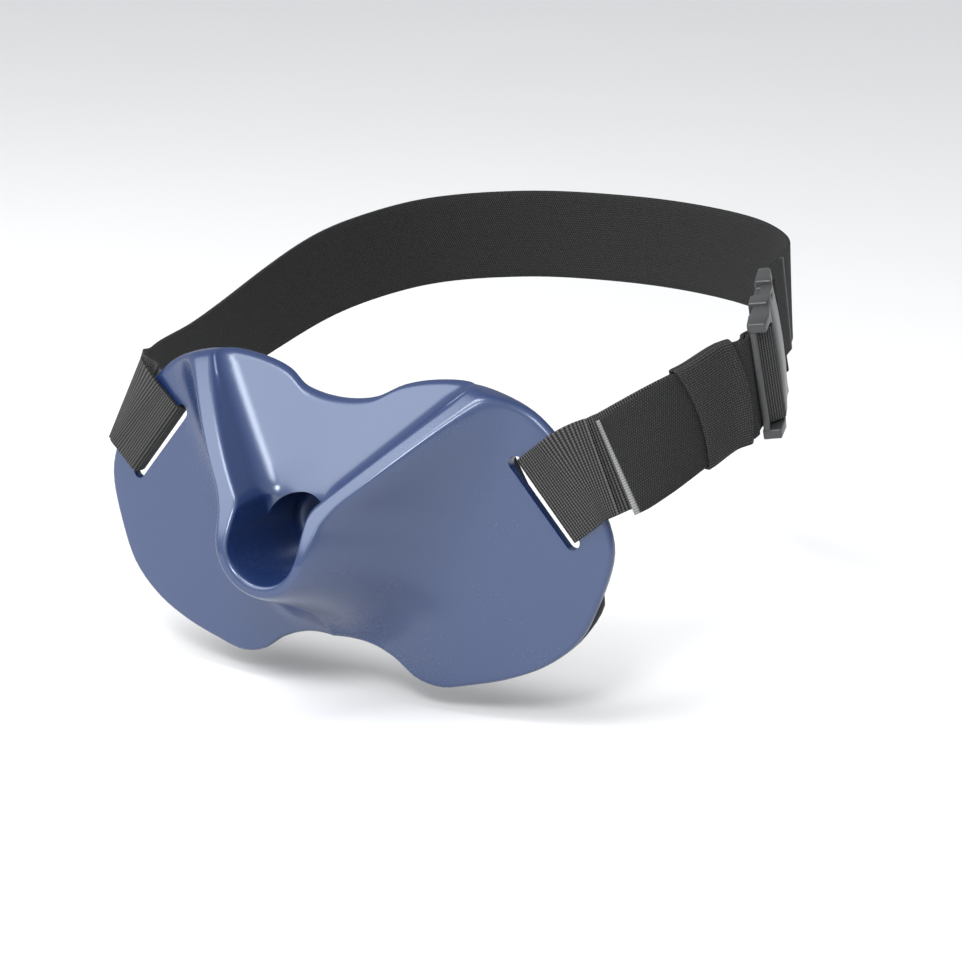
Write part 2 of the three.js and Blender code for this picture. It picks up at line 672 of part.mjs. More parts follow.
function buildKeeper() {
  const thick = 2 * WEB_THICKNESS + 3 * FIT_GAP;
  const middle = -LAYER / 2;
  const end = KEEPER_START + KEEPER_WIDTH;
  const outer = ribbon(run({ along: KEEPER_START, out: middle }, { along: end, out: middle }),
    WEB_WIDTH + 2 * (FIT_GAP + KEEPER_THICKNESS), thick + 2 * KEEPER_THICKNESS);
  const inner = ribbon(run({ along: KEEPER_START - 5, out: middle }, { along: end + 5, out: middle }),
    WEB_WIDTH + 2 * FIT_GAP, thick);
  return namedMesh('keeper_loop', cut(outer, inner), WEBBING);
}

// Rounded block of the buckle: length along, width up and thickness out, from lowest to highest
function block(alongFrom, alongTo, widthFrom, widthTo, outFrom, outTo, round = 1.2) {
  const shape = new THREE.Shape();
  const [a, b, c, d] = [alongFrom, alongTo, widthFrom, widthTo];
  const corner = Math.min(round, (b - a) / 3, (d - c) / 3);
  shape.moveTo(a + corner, c);
  shape.lineTo(b - corner, c);
  shape.quadraticCurveTo(b, c, b, c + corner);
  shape.lineTo(b, d - corner);
  shape.quadraticCurveTo(b, d, b - corner, d);
  shape.lineTo(a + corner, d);
  shape.quadraticCurveTo(a, d, a, d - corner);
  shape.lineTo(a, c + corner);
  shape.quadraticCurveTo(a, c, a + corner, c);
  const geometry = new THREE.ExtrudeGeometry(shape, { depth: outTo - outFrom, bevelEnabled: false, curveSegments: 4 });
  return geometry.translate(0, 0, outFrom);
}

// The buckle's own frame: x along the strap, y across it, z outwards, at the webbing's bar
function buckleMatrix() {
  const { width, outward } = routeFrame(BUCKLE_START + BUCKLE_LENGTH / 2);
  return new THREE.Matrix4().makeBasis(BUCKLE_AXIS, width, outward).setPosition(BAR_POINT);
}

function placeOnBuckle(mesh) {
  mesh.applyMatrix4(buckleMatrix());
  return mesh;
}

const HALF = BUCKLE_WIDTH / 2;
const WINDOW = WEB_WIDTH / 2 + FIT_GAP + 0.4;
const YOKE_LOW = BAR_MIDDLE - YOKE_THICKNESS / 2;
const YOKE_HIGH = BAR_MIDDLE + YOKE_THICKNESS / 2;
const BODY_LOW = BAR_MIDDLE - BODY_THICKNESS / 2;
const BODY_HIGH = BAR_MIDDLE + BODY_THICKNESS / 2;
const PRONG_LENGTH = 27;
const PRONG_WIDTH = 6.5;
const PRONG_THICKNESS = 5.5;
const BODY_SKIN = 2.6;

function buildYoke() {
  const frame = block(-RAIL / 2, YOKE_LENGTH - FIT_GAP, -HALF + 1, HALF - 1, YOKE_LOW, YOKE_HIGH, 4);
  const opening = block(-RAIL, YOKE_LENGTH - 9, -WINDOW, WINDOW, YOKE_LOW - 1, YOKE_HIGH + 1, 0.8);
  const bar = block(0, BUCKLE_BAR, -WINDOW - 1, WINDOW + 1,
    BAR_MIDDLE - BAR_THICKNESS / 2, BAR_MIDDLE + BAR_THICKNESS / 2, 1);
  const prongLow = BAR_MIDDLE - PRONG_THICKNESS / 2;
  const prongHigh = BAR_MIDDLE + PRONG_THICKNESS / 2;
  const root = YOKE_LENGTH - 4;
  const tip = YOKE_LENGTH + PRONG_LENGTH;
  const prong = (side) => {
    const inner = HALF - BODY_SKIN - PRONG_WIDTH - 1;
    const arm = [inner, inner + PRONG_WIDTH - 1.5];
    const pad = [inner, HALF - 0.6];
    const span = ([low, high]) => (side > 0 ? [low, high] : [-high, -low]);
    return join(
      block(root, tip, ...span(arm), prongLow, prongHigh, 1.5),
      block(tip - 13, tip, ...span(pad), prongLow, prongHigh, 2.5));
  };
  const guide = block(root, tip - 4, -4, 4, BAR_MIDDLE - 1.6, BAR_MIDDLE + 1.6, 1.5);
  const yoke = join(cut(frame, opening), bar, prong(1), prong(-1), guide);
  return placeOnBuckle(namedMesh('buckle_yoke', yoke, BUCKLE_PLASTIC));
}

function buildBuckleBody() {
  const start = YOKE_LENGTH;
  const end = YOKE_LENGTH + BODY_LENGTH;
  const tip = YOKE_LENGTH + PRONG_LENGTH;
  const shell = block(start, end, -HALF, HALF, BODY_LOW, BODY_HIGH, 5);
  const pocket = block(start - 2, tip + 1.5, -HALF + BODY_SKIN, HALF - BODY_SKIN,
    BODY_LOW + BODY_SKIN, BODY_HIGH - BODY_SKIN, 1);
  const side = block(tip - 14.5, tip + 1.5, -HALF - 1, HALF + 1, BODY_LOW + BODY_SKIN, BODY_HIGH - BODY_SKIN, 1);
  const opening = block(end - BUCKLE_BAR - 9, end - BUCKLE_BAR, -WINDOW, WINDOW, BODY_LOW - 1, BODY_HIGH + 1, 0.8);
  const thin = block(end - BUCKLE_BAR - 1, end + 1, -WINDOW, WINDOW, BAR_MIDDLE + BAR_THICKNESS / 2, BODY_HIGH + 1, 0.8);
  const thinBelow = block(end - BUCKLE_BAR - 1, end + 1, -WINDOW, WINDOW, BODY_LOW - 1, BAR_MIDDLE - BAR_THICKNESS / 2, 0.8);
  return placeOnBuckle(namedMesh('buckle_body', cut(shell, pocket, side, opening, thin, thinBelow), BUCKLE_PLASTIC));
}

const plate = buildPlate();
const belt = new THREE.Group();
belt.add(plate, buildPad(plate), buildRightStrap(), buildBackStrap(), buildKeeper(), buildYoke(), buildBuckleBody());
belt.position.copy(WAIST).negate();

export default belt;
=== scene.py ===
# %% [markdown]
# # A fishing fighting belt
# The belt is a moulded blue plate with a cup for the rod's butt, a foam pad behind it, black
# webbing that runs round the waist, and a side-release buckle at the wearer's left hip.
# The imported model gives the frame, and this lesson builds the looks round it, piece by piece.

# %% Load the frame
import math

import bmesh
import bpy
import numpy as np
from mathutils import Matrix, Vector


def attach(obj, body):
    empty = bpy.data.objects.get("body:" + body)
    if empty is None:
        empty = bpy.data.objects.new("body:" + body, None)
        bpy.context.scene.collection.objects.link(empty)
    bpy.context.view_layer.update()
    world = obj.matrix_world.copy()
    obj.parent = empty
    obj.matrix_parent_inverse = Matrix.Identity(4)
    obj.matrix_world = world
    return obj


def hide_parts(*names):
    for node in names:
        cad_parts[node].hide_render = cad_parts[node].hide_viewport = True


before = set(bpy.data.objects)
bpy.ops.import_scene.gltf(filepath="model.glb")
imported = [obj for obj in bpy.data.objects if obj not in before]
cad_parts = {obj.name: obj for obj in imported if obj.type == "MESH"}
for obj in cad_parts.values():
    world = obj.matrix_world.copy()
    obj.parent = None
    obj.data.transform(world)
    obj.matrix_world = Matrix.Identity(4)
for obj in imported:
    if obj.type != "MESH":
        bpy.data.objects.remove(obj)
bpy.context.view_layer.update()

print("packed nodes:", sorted(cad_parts))

# %% [markdown]
# The plate is easiest to describe in millimetres from the notch at its bottom edge, with X to the
# wearer's left, Y to the back and Z up. The frame has its origin in the middle of the waist, so one
# small function takes points from the first to the second.

# %% Millimetres to the frame
MM_PER_METRE = 1000
WAIST = np.array([0.0, 154.0, 110.0])


def to_frame(points):
    return (np.asarray(points, float) - WAIST) / MM_PER_METRE


print("bottom notch of the plate in the frame:", to_frame([0, 0, 0]))

# %% [markdown]
# The camera comes first, because every later decision is judged through it. It looks from the
# wearer's left and a little from above, through a long lens, so the plate is hardly distorted.

# %% Camera
CAMERA_PLACE = (0.9941, -1.6692, 0.4709)
LOOK_BACK = Vector((0.4965, -0.8264, 0.2656))
LENS, SENSOR = 140.07, 36
camera = bpy.data.objects.new("camera", bpy.data.cameras.new("camera"))
camera.data.lens = LENS
camera.data.sensor_width = SENSOR
camera.location = CAMERA_PLACE
camera.rotation_mode = "QUATERNION"
camera.rotation_quaternion = (-LOOK_BACK).to_track_quat("-Z", "Y")
bpy.context.scene.collection.objects.link(camera)
bpy.context.scene.camera = camera
print("camera is", round(camera.location.length, 3), "m from the waist")

# %% [markdown]
# Shiny plastic shows what surrounds it, so the light is what shapes it here: a large soft box
# above, in front and to the wearer's right for the broad highlights, a small one to the left, and a
# narrow one overhead for the bright lines along the arms. The Standard view keeps the whites white.

# %% Lights
def soft_box(name, place, aim, size, power):
    lamp = bpy.data.objects.new(name, bpy.data.lights.new(name, "AREA"))
    lamp.data.shape = "RECTANGLE"
    lamp.data.size, lamp.data.size_y = size
    lamp.data.energy = power
    lamp.location = place
    lamp.rotation_mode = "QUATERNION"
    lamp.rotation_quaternion = (Vector(aim) - Vector(place)).to_track_quat("-Z", "Y")
    bpy.context.scene.collection.objects.link(lamp)


PLATE_MIDDLE = (0, -0.15, 0)
soft_box("light_over", place=(-0.95, -1.0, 1.3), aim=(0, -0.1, 0), size=(1.9, 1.5), power=24)
soft_box("light_left", place=(0.5, -1.35, 1.0), aim=PLATE_MIDDLE, size=(0.4, 0.4), power=13)
soft_box("light_strip", place=(-0.1, -0.55, 1.55), aim=PLATE_MIDDLE, size=(1.0, 0.34), power=11)
bpy.context.scene.view_settings.view_transform = "Standard"

# %% [markdown]
# ## Materials
# A material is a small calculation that runs at every point of a surface. The classes below let it
# be written as one: a socket goes into ordinary Python sums, and each sum adds its Math node. Any
# other node is made from its type, its settings and what its sockets are fed.

# %% Shader sums
class Value:
    """A node's output that can be used in Python sums."""

    def __init__(self, nodes, socket):
        self.nodes, self.socket = nodes, socket

    def apply(self, operation, *others):
        values = dict(enumerate((self, *others)))
        return self.nodes.node("ShaderNodeMath", {"operation": operation}, values)

    def __add__(self, other):
        return self.apply("ADD", other)

    def __rsub__(self, other):
        return self * -1 + other

    def __mul__(self, other):
        return self.apply("MULTIPLY", other)

    __radd__, __rmul__ = __add__, __mul__


class Nodes:
    """A node tree, of a material or of the world."""

    def __init__(self, tree):
        self.tree = tree

    def node(self, kind, settings=None, inputs=None, output=0):
        made = self.tree.nodes.new(kind)
        for key, value in (settings or {}).items():
            setattr(made, key, value)
        for key, value in (inputs or {}).items():
            self.feed(made.inputs[key], value)
        return Value(self, made.outputs[output])

    def feed(self, socket, value):
        if isinstance(value, Value):
            self.tree.links.new(value.socket, socket)
        elif hasattr(value, "__len__") and len(value) == 3:
            socket.default_value = (*value, 1)
        else:
            socket.default_value = value


print("shader sums ready")

# %% [markdown]
# The room is part of the light: it is pale and fills the shadows. It is dimmer at the back, as
# walls there would put a haze over the faces of the cup that turn that way.

# %% Pale room
ROOM_COLOUR = (0.95, 0.97, 1)
ROOM_FRONT, ROOM_REAR = 1.0, 0.42
DIMS_FROM, DIMS_TO = -0.35, 0.45
world = bpy.data.worlds.new("pale_room")
world.use_nodes = True
bpy.context.scene.world = world
room = Nodes(world.node_tree)
facing = room.node("ShaderNodeTexCoord", output="Generated")
backward = room.node("ShaderNodeSeparateXYZ", None, {"Vector": facing}, "Y")
strength = room.node("ShaderNodeMapRange", None, {
    "Value": backward, "From Min": DIMS_FROM, "From Max": DIMS_TO,
    "To Min": ROOM_FRONT, "To Max": ROOM_REAR})
background = room.tree.nodes["Background"]
room.feed(background.inputs["Color"], ROOM_COLOUR)
room.feed(background.inputs["Strength"], strength)
print("room is", ROOM_REAR / ROOM_FRONT, "times as bright at the back")

# %% [markdown]
# Every material here is a Principled shader with a few textures behind it. The class for a finish
# adds the textures that they share, all laid out in the object's own space so that they stay put.

# %% Finishes
MIX_SHARE, MIX_LOW, MIX_HIGH, MIX_COLOUR = 0, 6, 7, 2  # a Mix node's sockets for colours, by number


class Finish(Nodes):
    """A material with its Principled shader and the textures that feed it."""

    def __init__(self, name, **constants):
        self.material = bpy.data.materials.new(name)
        self.material.use_nodes = True
        super().__init__(self.material.node_tree)
        self.shader = self.tree.nodes["Principled BSDF"]
        for key, value in constants.items():
            self.shader.inputs[key.replace("_", " ")].default_value = value

    def shade(self, name, value):
        self.feed(self.shader.inputs[name], value)

    def place(self):
        return self.node("ShaderNodeTexCoord", output="Object")

    def noise(self, scale, detail=2):
        return self.node("ShaderNodeTexNoise", None, {
            "Vector": self.place(), "Scale": scale, "Detail": detail})

    def between(self, low, high, share):
        return self.node("ShaderNodeMix", {"data_type": "RGBA"}, {
            MIX_SHARE: share, MIX_LOW: low, MIX_HIGH: high}, MIX_COLOUR)

    def steps(self, value, low, high):
        return self.node("ShaderNodeMapRange", {"interpolation_type": "SMOOTHSTEP"}, {
            "Value": value, "From Min": low, "From Max": high})

    def bump(self, height, distance, strength):
        return self.node("ShaderNodeBump", None, {
            "Height": height, "Distance": distance, "Strength": strength})


print("finish helpers ready")

# %% [markdown]
# The plate is thick moulded polyethylene: navy all through, with a waxy skin that carries a fine
# orange-peel texture. A broad noise and a very fine one move its colour and roughness a little,
# and a third, between them in size, makes the skin.

# %% Moulded blue
NAVY_DARK, NAVY_LIGHT = (0.008, 0.021, 0.08), (0.013, 0.03, 0.104)
blue = Finish("moulded_blue", IOR=1.57, Specular_IOR_Level=1.0, Specular_Tint=(0.78, 0.87, 1, 1))
cloud = blue.noise(14, 3)
speck = blue.noise(900, 2)
blue.shade("Base Color", blue.between(NAVY_DARK, NAVY_LIGHT, cloud * 0.8 + speck * 0.2))
blue.shade("Roughness", 0.22 + cloud * 0.06 + speck * 0.025)
blue.shade("Normal", blue.bump(blue.noise(240, 2), 0.00004, 0.35))
print("made", blue.material.name)

# %% [markdown]
# The pad is black closed-cell foam. Its cut skin is matt and pitted, so a Voronoi cell pattern
# makes the pits and a soft noise varies the grey.

# %% Foam
FOAM_DARK, FOAM_LIGHT = (0.012, 0.0125, 0.014), (0.03, 0.031, 0.034)
foam = Finish("foam", IOR=1.4)
cells = foam.node("ShaderNodeTexVoronoi", None, {"Vector": foam.place(), "Scale": 700})
foam.shade("Base Color", foam.between(FOAM_DARK, FOAM_LIGHT, foam.noise(60, 3)))
foam.shade("Roughness", 0.8 + foam.noise(300) * 0.15)
foam.shade("Normal", foam.bump(cells, 0.0002, 0.6))
print("made", foam.material.name)

# %% [markdown]
# Webbing is woven, and the weave has to follow the strap round its folds. Each strap therefore
# carries its own coordinates as an attribute: millimetres along it, millimetres across it, and
# how coarse the weave shows, because the face that is turned out at the slots has wide ribs.
# The cut ends are sealed with heat, which leaves a smooth bead, kept in a second attribute; the bead's pale
# grey is a painted highlight.

# %% Webbing
RIB_PITCH, WEAVE_PITCH, THREAD_PITCH = 1.4, 1.15, 1.3
CLOTH_VALLEY_SHADE, CLOTH_RIDGE_LIT, SEALED_PAINTED_HIGHLIGHT = (0.002, 0.002, 0.002), (0.078, 0.078, 0.075), (0.24, 0.245, 0.245)


def ridges(distance, pitch):
    """Round ridges, one for each pitch of the distance."""
    return (distance * (math.pi / pitch)).apply("SINE").apply("ABSOLUTE")


def woven(name):
    cloth = Finish(name, IOR=1.45)
    spot = cloth.node("ShaderNodeAttribute", {"attribute_name": "weave_mm"}, output="Vector")
    along, across, coarse = (
        cloth.node("ShaderNodeSeparateXYZ", None, {"Vector": spot}, axis) for axis in "XYZ")
    thread = ridges(across, THREAD_PITCH)
    rib = ridges(along, RIB_PITCH) * (0.5 + thread * 0.5)
    offset = (across * (math.pi / THREAD_PITCH)).apply("SINE").apply("SIGN") * (WEAVE_PITCH / 4)
    fine = ridges(along + offset, WEAVE_PITCH) * (0.55 + thread * 0.45)
    height = fine * (1 - coarse) * 0.6 + rib * coarse
    fuzz = cloth.noise(1500, 2)
    sealed = cloth.node("ShaderNodeAttribute", {"attribute_name": "sealed"}, output="Fac")
    # Painted shade: the weave's valleys are painted darker and its ridges lighter, by their height.
    lit = cloth.steps(height + fuzz * 0.4, 0.5, 1.2)
    colour = cloth.between(CLOTH_VALLEY_SHADE, CLOTH_RIDGE_LIT, lit)
    # Painted highlight: the sealed bead is painted pale grey for the light on its rounded edge; its
    # smoothness is real.
    cloth.shade("Base Color", cloth.between(colour, SEALED_PAINTED_HIGHLIGHT, sealed * (0.4 + thread * 0.6)))
    cloth.shade("Roughness", 0.72 - sealed * 0.3 + fuzz * 0.12)
    cloth.shade("Normal", cloth.bump(height * (1 - sealed * 0.6) + fuzz * 0.15, 0.0006, 0.9))
    return cloth


webbing = woven("webbing")
print("made", webbing.material.name)

# %% [markdown]
# The buckle is satin black acetal. It is smoother than the webbing, with a light spark-eroded
# grain, and the handled places are a touch shinier than the rest.

# %% Buckle plastic
ACETAL_DARK, ACETAL_LIGHT = (0.024, 0.0245, 0.026), (0.04, 0.041, 0.044)
buckle_plastic = Finish("buckle_plastic", IOR=1.5, Coat_Weight=0.3, Coat_Roughness=0.3)
worn = buckle_plastic.noise(45, 3)
grain = buckle_plastic.noise(1600, 2)
buckle_plastic.shade("Base Color", buckle_plastic.between(ACETAL_DARK, ACETAL_LIGHT, worn))
buckle_plastic.shade("Roughness", 0.4 - worn * 0.12 + grain * 0.08)
buckle_plastic.shade("Normal", buckle_plastic.bump(grain, 0.00005, 0.5))
print("made", buckle_plastic.material.name)

# %% [markdown]
# ## The moulded plate
# The plate's front is a height field: for each point of its outline there is one depth. Written as
# sums, that depth has four parts, which are the bare curved plate, the crest that the lip and both
# arms follow, the hood that falls away from that crest, and the hollow that is cut into the hood.

# %% Sizes of the plate
PLATE_HALF_WIDTH, PLATE_HEIGHT, PLATE_WALL = 150, 140, 5
PLATE_CURVE_RADIUS, PLATE_LEAN, PLATE_LEVEL = 860, 0.032, 80
EDGE_ROUND, TOP_ROUND, REAR_ROUND = 2.2, 3.6, 1.3
BORE_RADIUS, CUP_RIM, CUP_LEVEL, CUP_REACH = 20.3, 4.7, 66, 71.5
CUP_FLOOR, CUP_FLOOR_ROUND = 5, 4
BORE_DROP, BORE_DROP_SPAN = 0.07, 16
CREST_START, CREST_RISE, CREST_POWER, CREST_FALL, CREST_ROUND = 8, 0.0986, 1.5, 0.05, 2.4
ARM_WIDTH, ARM_BLEND, HOOD_BLEND, SHOULDER = 6.4, 12, 14, 4
FLANK_WIDTH, FLANK_SHARE, FLANK_POWER = 12, 0.45, 2.2
WALL_OFFSET, WALL_BLEND, WALL_WIDTH = 3.5, 3, 1.1
CREASE_ROUND, CREASE_TIGHT = 7, 0.15
RAMP_REACH, RAMP_START, RAMP_SLOPE, RAMP_BLEND, RAMP_HOLLOW = 31.5, 84, 0.78, 1.5, 5.5
# Columns: across as a share of the half width, up as a share of the height.
PLATE_OUTLINE = [
    (0, 0.889), (0.133, 0.909), (0.227, 0.959), (0.347, 0.99), (0.487, 1), (0.6, 0.977), (0.72, 0.92),
    (0.827, 0.811), (0.933, 0.657), (0.993, 0.514), (1, 0.429), (0.96, 0.272), (0.893, 0.121),
    (0.787, 0.019), (0.653, -0.05), (0.507, -0.096), (0.4, -0.12), (0.313, -0.101), (0.227, -0.039),
    (0.12, 0.004), (0, 0.014),
]
print("plate is", 2 * PLATE_HALF_WIDTH, "mm wide")

# %% Depth of the bare plate, crest and hood
def smooth_min(a, b, blend):
    share = np.maximum(blend - np.abs(a - b), 0) / blend
    return np.minimum(a, b) - share * share * blend / 4


def smooth_max(a, b, blend):
    return -smooth_min(-a, -b, blend)


def plate_face(x, z):
    return x * x / (2 * PLATE_CURVE_RADIUS) + PLATE_LEAN * (z - PLATE_LEVEL)


def crest_face(z):
    above = z - CUP_LEVEL + CREST_START
    rise = np.where(above > 0, CREST_RISE * np.maximum(above, 0) ** CREST_POWER, CREST_FALL * above)
    return rise - CUP_REACH


def hood_distance(across, z):
    above = z - CUP_LEVEL
    radius = BORE_RADIUS + CUP_RIM
    sides = smooth_max(across - radius, -above, HOOD_BLEND)
    arm = (across - above - WALL_OFFSET) / math.sqrt(2) - ARM_WIDTH
    return smooth_min(np.hypot(across, above) - radius, smooth_min(sides, arm, ARM_BLEND), ARM_BLEND / 2)


def hood_face(across, z):
    plate = plate_face(across, z)
    height = smooth_max(plate - crest_face(z), 0, SHOULDER)
    outside = np.maximum(hood_distance(across, z), 0)
    rounded = np.hypot(outside, SHOULDER) - SHOULDER
    width = FLANK_WIDTH + FLANK_SHARE * height
    return plate - height * np.maximum(1 - rounded / width, 0) ** FLANK_POWER


LIP_LEVEL = CUP_LEVEL - BORE_RADIUS
print("the lip reaches", -float(hood_face(np.array(0.0), np.array(LIP_LEVEL))), "mm forward")

# %% [markdown]
# The hollow has a steep wall on each side. Its crest and the crease at its foot are both rounded,
# which is what gives the moulding its bright line along each arm and the pale line in the crease.

# %% Depth of the hollow
LEAST = 1e-6  # keeps a round of no size from dividing by nothing


def quarter_round(share):
    return 1 - np.sqrt(1 - np.clip(share, 0, 1) ** 2)


def hollow_distance(across, z):
    above = z - CUP_LEVEL
    arm = (above + WALL_OFFSET - across) / math.sqrt(2)
    walls = smooth_max(BORE_RADIUS - across, arm, WALL_BLEND)
    return np.where(above < 0, BORE_RADIUS - np.hypot(across, above), walls)


def ramp_face(across, z):
    above = z - CUP_LEVEL
    climb = RAMP_BLEND * np.log1p(np.exp((z - RAMP_START) / RAMP_BLEND))
    share = across / np.maximum(BORE_RADIUS, above + WALL_OFFSET)
    sag = RAMP_HOLLOW * share * share * np.clip(above / BORE_RADIUS, 0, 1)
    return RAMP_SLOPE * climb - RAMP_REACH - sag


def front_face(x, z):
    across = np.abs(x)
    hood = hood_face(across, z)
    inside = hollow_distance(across, z)
    depth = np.where(z < CUP_LEVEL, CUP_REACH, np.maximum(ramp_face(across, z) - hood, 0))
    share = np.minimum(depth / (CREST_ROUND + CREASE_ROUND), 1)
    crest = np.maximum(CREST_ROUND * share, LEAST)
    opened = np.clip((z - CUP_LEVEL) / BORE_RADIUS, CREASE_TIGHT, 1)
    crease = np.maximum(CREASE_ROUND * share * opened, LEAST)
    on_crest = crest * quarter_round(1 + np.minimum(inside, 0) / crest)
    on_wall = crest + (depth - crest - crease) * inside / WALL_WIDTH
    on_ramp = depth - crease * quarter_round(1 - (inside - WALL_WIDTH) / crease)
    return hood + np.where(inside <= 0, on_crest, np.where(inside <= WALL_WIDTH, on_wall, on_ramp))


def back_face(x, z):
    plate = plate_face(x, z)
    sunk = np.maximum(front_face(x, z) - plate, 0)
    return plate + sunk * sunk / (sunk + 1) + PLATE_WALL


TOP_MIDDLE = PLATE_OUTLINE[0][1] * PLATE_HEIGHT
print("ramp at the middle of the top edge:", float(front_face(np.array(0.0), np.array(TOP_MIDDLE))))

# %% [markdown]
# Outlines and strap routes are both smooth curves through a few known points. One function
# serves both: a centripetal spline, which passes through every point without loops.

# %% Smooth curves
OUTLINE_SAMPLES = 2400


def eased(share):
    """A share from 0 to 1 that starts and stops gently."""
    return share * share * (3 - 2 * share)


def walked(line):
    """How far along a line each of its points lies."""
    return np.concatenate([[0], np.cumsum(np.linalg.norm(np.diff(line, axis=0), axis=1))])


def smooth_curve(points, closed, samples):
    points = np.asarray(points, float)
    count = len(points)
    if closed:
        line = np.vstack([points[-1], points, points[:2]])
    else:
        line = np.vstack([2 * points[0] - points[1], points, 2 * points[-1] - points[-2]])
    spans = count if closed else count - 1
    made = []
    for place in np.linspace(0, spans, samples, endpoint=not closed):
        span = min(int(place), spans - 1)
        a, b, c, d = line[span:span + 4]
        gaps = [max(np.sum((q - p) ** 2) ** 0.25, 1e-4) for p, q in ((a, b), (b, c), (c, d))]
        start = ((b - a) / gaps[0] - (c - a) / (gaps[0] + gaps[1]) + (c - b) / gaps[1]) * gaps[1]
        end = ((c - b) / gaps[1] - (d - b) / (gaps[1] + gaps[2]) + (d - c) / gaps[2]) * gaps[1]
        t = place - span
        bend, twist = 3 * (c - b) - 2 * start - end, 2 * (b - c) + start + end
        made.append(b + start * t + bend * t * t + twist * t ** 3)
    return np.array(made)


def outline_around_cup(table):
    half = [(across * PLATE_HALF_WIDTH, up * PLATE_HEIGHT) for across, up in table]
    whole = half + [(-x, z) for x, z in half[-2:0:-1]]
    line = smooth_curve(whole, True, OUTLINE_SAMPLES)
    turn = np.arctan2(line[:, 1] - CUP_LEVEL, line[:, 0])
    order = np.argsort(turn)
    reach = np.hypot(line[:, 0], line[:, 1] - CUP_LEVEL)[order]
    return turn[order], reach


plate_outline = outline_around_cup(PLATE_OUTLINE)
print("outline reaches", round(plate_outline[1].max(), 1), "mm from the cup")

# %% [markdown]
# A round skin is spun: one straight row of points turns once round the cup's axis and leaves rings
# and spokes. The spokes are then bent, ring by ring, so that a bundle of them keeps its distance
# from the hollow's side wall. With edges lying along the crest and the crease, both stay crisp.

# %% Spokes that follow the arms
SPOKES = 336
HALVINGS, REACH_GUESS, REACH_STEPS = 36, 120.0, 14
WALL_LINES = [-2 * ARM_WIDTH, -1.5 * ARM_WIDTH, -ARM_WIDTH, -(ARM_WIDTH + CREST_ROUND) / 2, -CREST_ROUND,
              -CREST_ROUND / 2, 0, WALL_WIDTH, WALL_WIDTH + CREASE_ROUND / 5, WALL_WIDTH + CREASE_ROUND / 2,
              WALL_WIDTH + CREASE_ROUND, WALL_WIDTH + 1.6 * CREASE_ROUND]
LOW_SHARE, WALL_SHARES = 0.12, (0.44, 0.84)
LINE_SHARES = np.concatenate([[0, LOW_SHARE], np.linspace(*WALL_SHARES, len(WALL_LINES)), [1]])


def wall_turn(radius, distance):
    low, high = np.zeros_like(radius), np.full_like(radius, math.pi / 2)
    for _ in range(HALVINGS):
        middle = (low + high) / 2
        short = hollow_distance(radius * np.cos(middle), CUP_LEVEL + radius * np.sin(middle)) < distance
        low, high = np.where(short, middle, low), np.where(short, high, middle)
    return low


def spoke_turn(share, radius):
    """Direction of a spoke at a radius, from straight down at share 0 to straight up at 1."""
    size = np.maximum(radius, BORE_RADIUS)
    lines = [np.full_like(size, -math.pi / 2), np.full_like(size, -math.pi / 3)]
    lines += [wall_turn(size, max(d, 0)) + min(d, 0) / size for d in WALL_LINES]
    lines = np.array(lines + [np.full_like(size, math.pi / 2)])
    after = np.clip(np.searchsorted(LINE_SHARES, share, side="right"), 1, len(LINE_SHARES) - 1)
    before = after - 1
    within = (share - LINE_SHARES[before]) / (LINE_SHARES[after] - LINE_SHARES[before])
    spot = np.arange(len(share))
    return lines[before, spot] * (1 - within) + lines[after, spot] * within


spoke = np.arange(SPOKES)
climb = (spoke * 2 / SPOKES + 0.5) % 2
SPOKE_SHARE = np.where(climb <= 1, climb, 2 - climb)
SPOKE_SIDE = np.where(climb <= 1, 1.0, -1.0)
print("spokes:", SPOKES)

# %% Spin a skin and move it into place
def ring_points(radius, y):
    """One ring of points, at a depth that is a number or a function of place."""
    turn = spoke_turn(SPOKE_SHARE, radius)
    x = SPOKE_SIDE * radius * np.cos(turn)
    z = CUP_LEVEL + radius * np.sin(turn)
    depth = y(x, z) if callable(y) else np.broadcast_to(y, x.shape)
    return np.stack([x, depth, z], 1)


def spoke_ends(outline):
    """How far each spoke reaches before it meets the outline."""
    reach = np.full(SPOKES, REACH_GUESS)
    for _ in range(REACH_STEPS):
        turn = spoke_turn(SPOKE_SHARE, reach)
        reach = np.interp(turn, *outline)
    return reach


def spun_skin(rings):
    """A closed skin: a row of points spun once, each ring then moved to its own points."""
    made = bmesh.new()
    row = [made.verts.new((k + 1, 0, 0)) for k in range(len(rings))]
    for a, b in zip(row, row[1:]):
        made.edges.new((a, b))
    bmesh.ops.spin(made, geom=made.verts[:] + made.edges[:], cent=(0, 0, 0), axis=(0, 1, 0),
                   dvec=(0, 0, 0), angle=2 * math.pi, steps=SPOKES, use_merge=True, use_duplicate=False)
    for vert in made.verts:
        ring = round(math.hypot(vert.co.x, vert.co.z)) - 1
        step = round(math.atan2(vert.co.z, vert.co.x) / (2 * math.pi) * SPOKES) % SPOKES
        vert.co = rings[ring][step]
    bmesh.ops.remove_doubles(made, verts=made.verts[:], dist=1e-6)
    bmesh.ops.recalc_face_normals(made, faces=made.faces[:])
    return made


def as_object(name, made):
    """Turns a bmesh into an object of the scene."""
    mesh = bpy.data.meshes.new(name)
    made.to_mesh(mesh)
    made.free()
    thing = bpy.data.objects.new(name, mesh)
    bpy.context.scene.collection.objects.link(thing)
    return thing


def piece(name, made, finish, node, smooth=40):
    """Turns a bmesh into an object that stands for a node, shaded smooth up to an angle."""
    thing = as_object(name, made)
    thing.data.materials.append(finish.material)
    thing.data.shade_smooth()
    thing.data.set_sharp_from_angle(angle=math.radians(smooth))
    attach(thing, "root")
    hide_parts(node)
    print(name, len(thing.data.polygons), "faces")
    return thing


print("skin helpers ready")

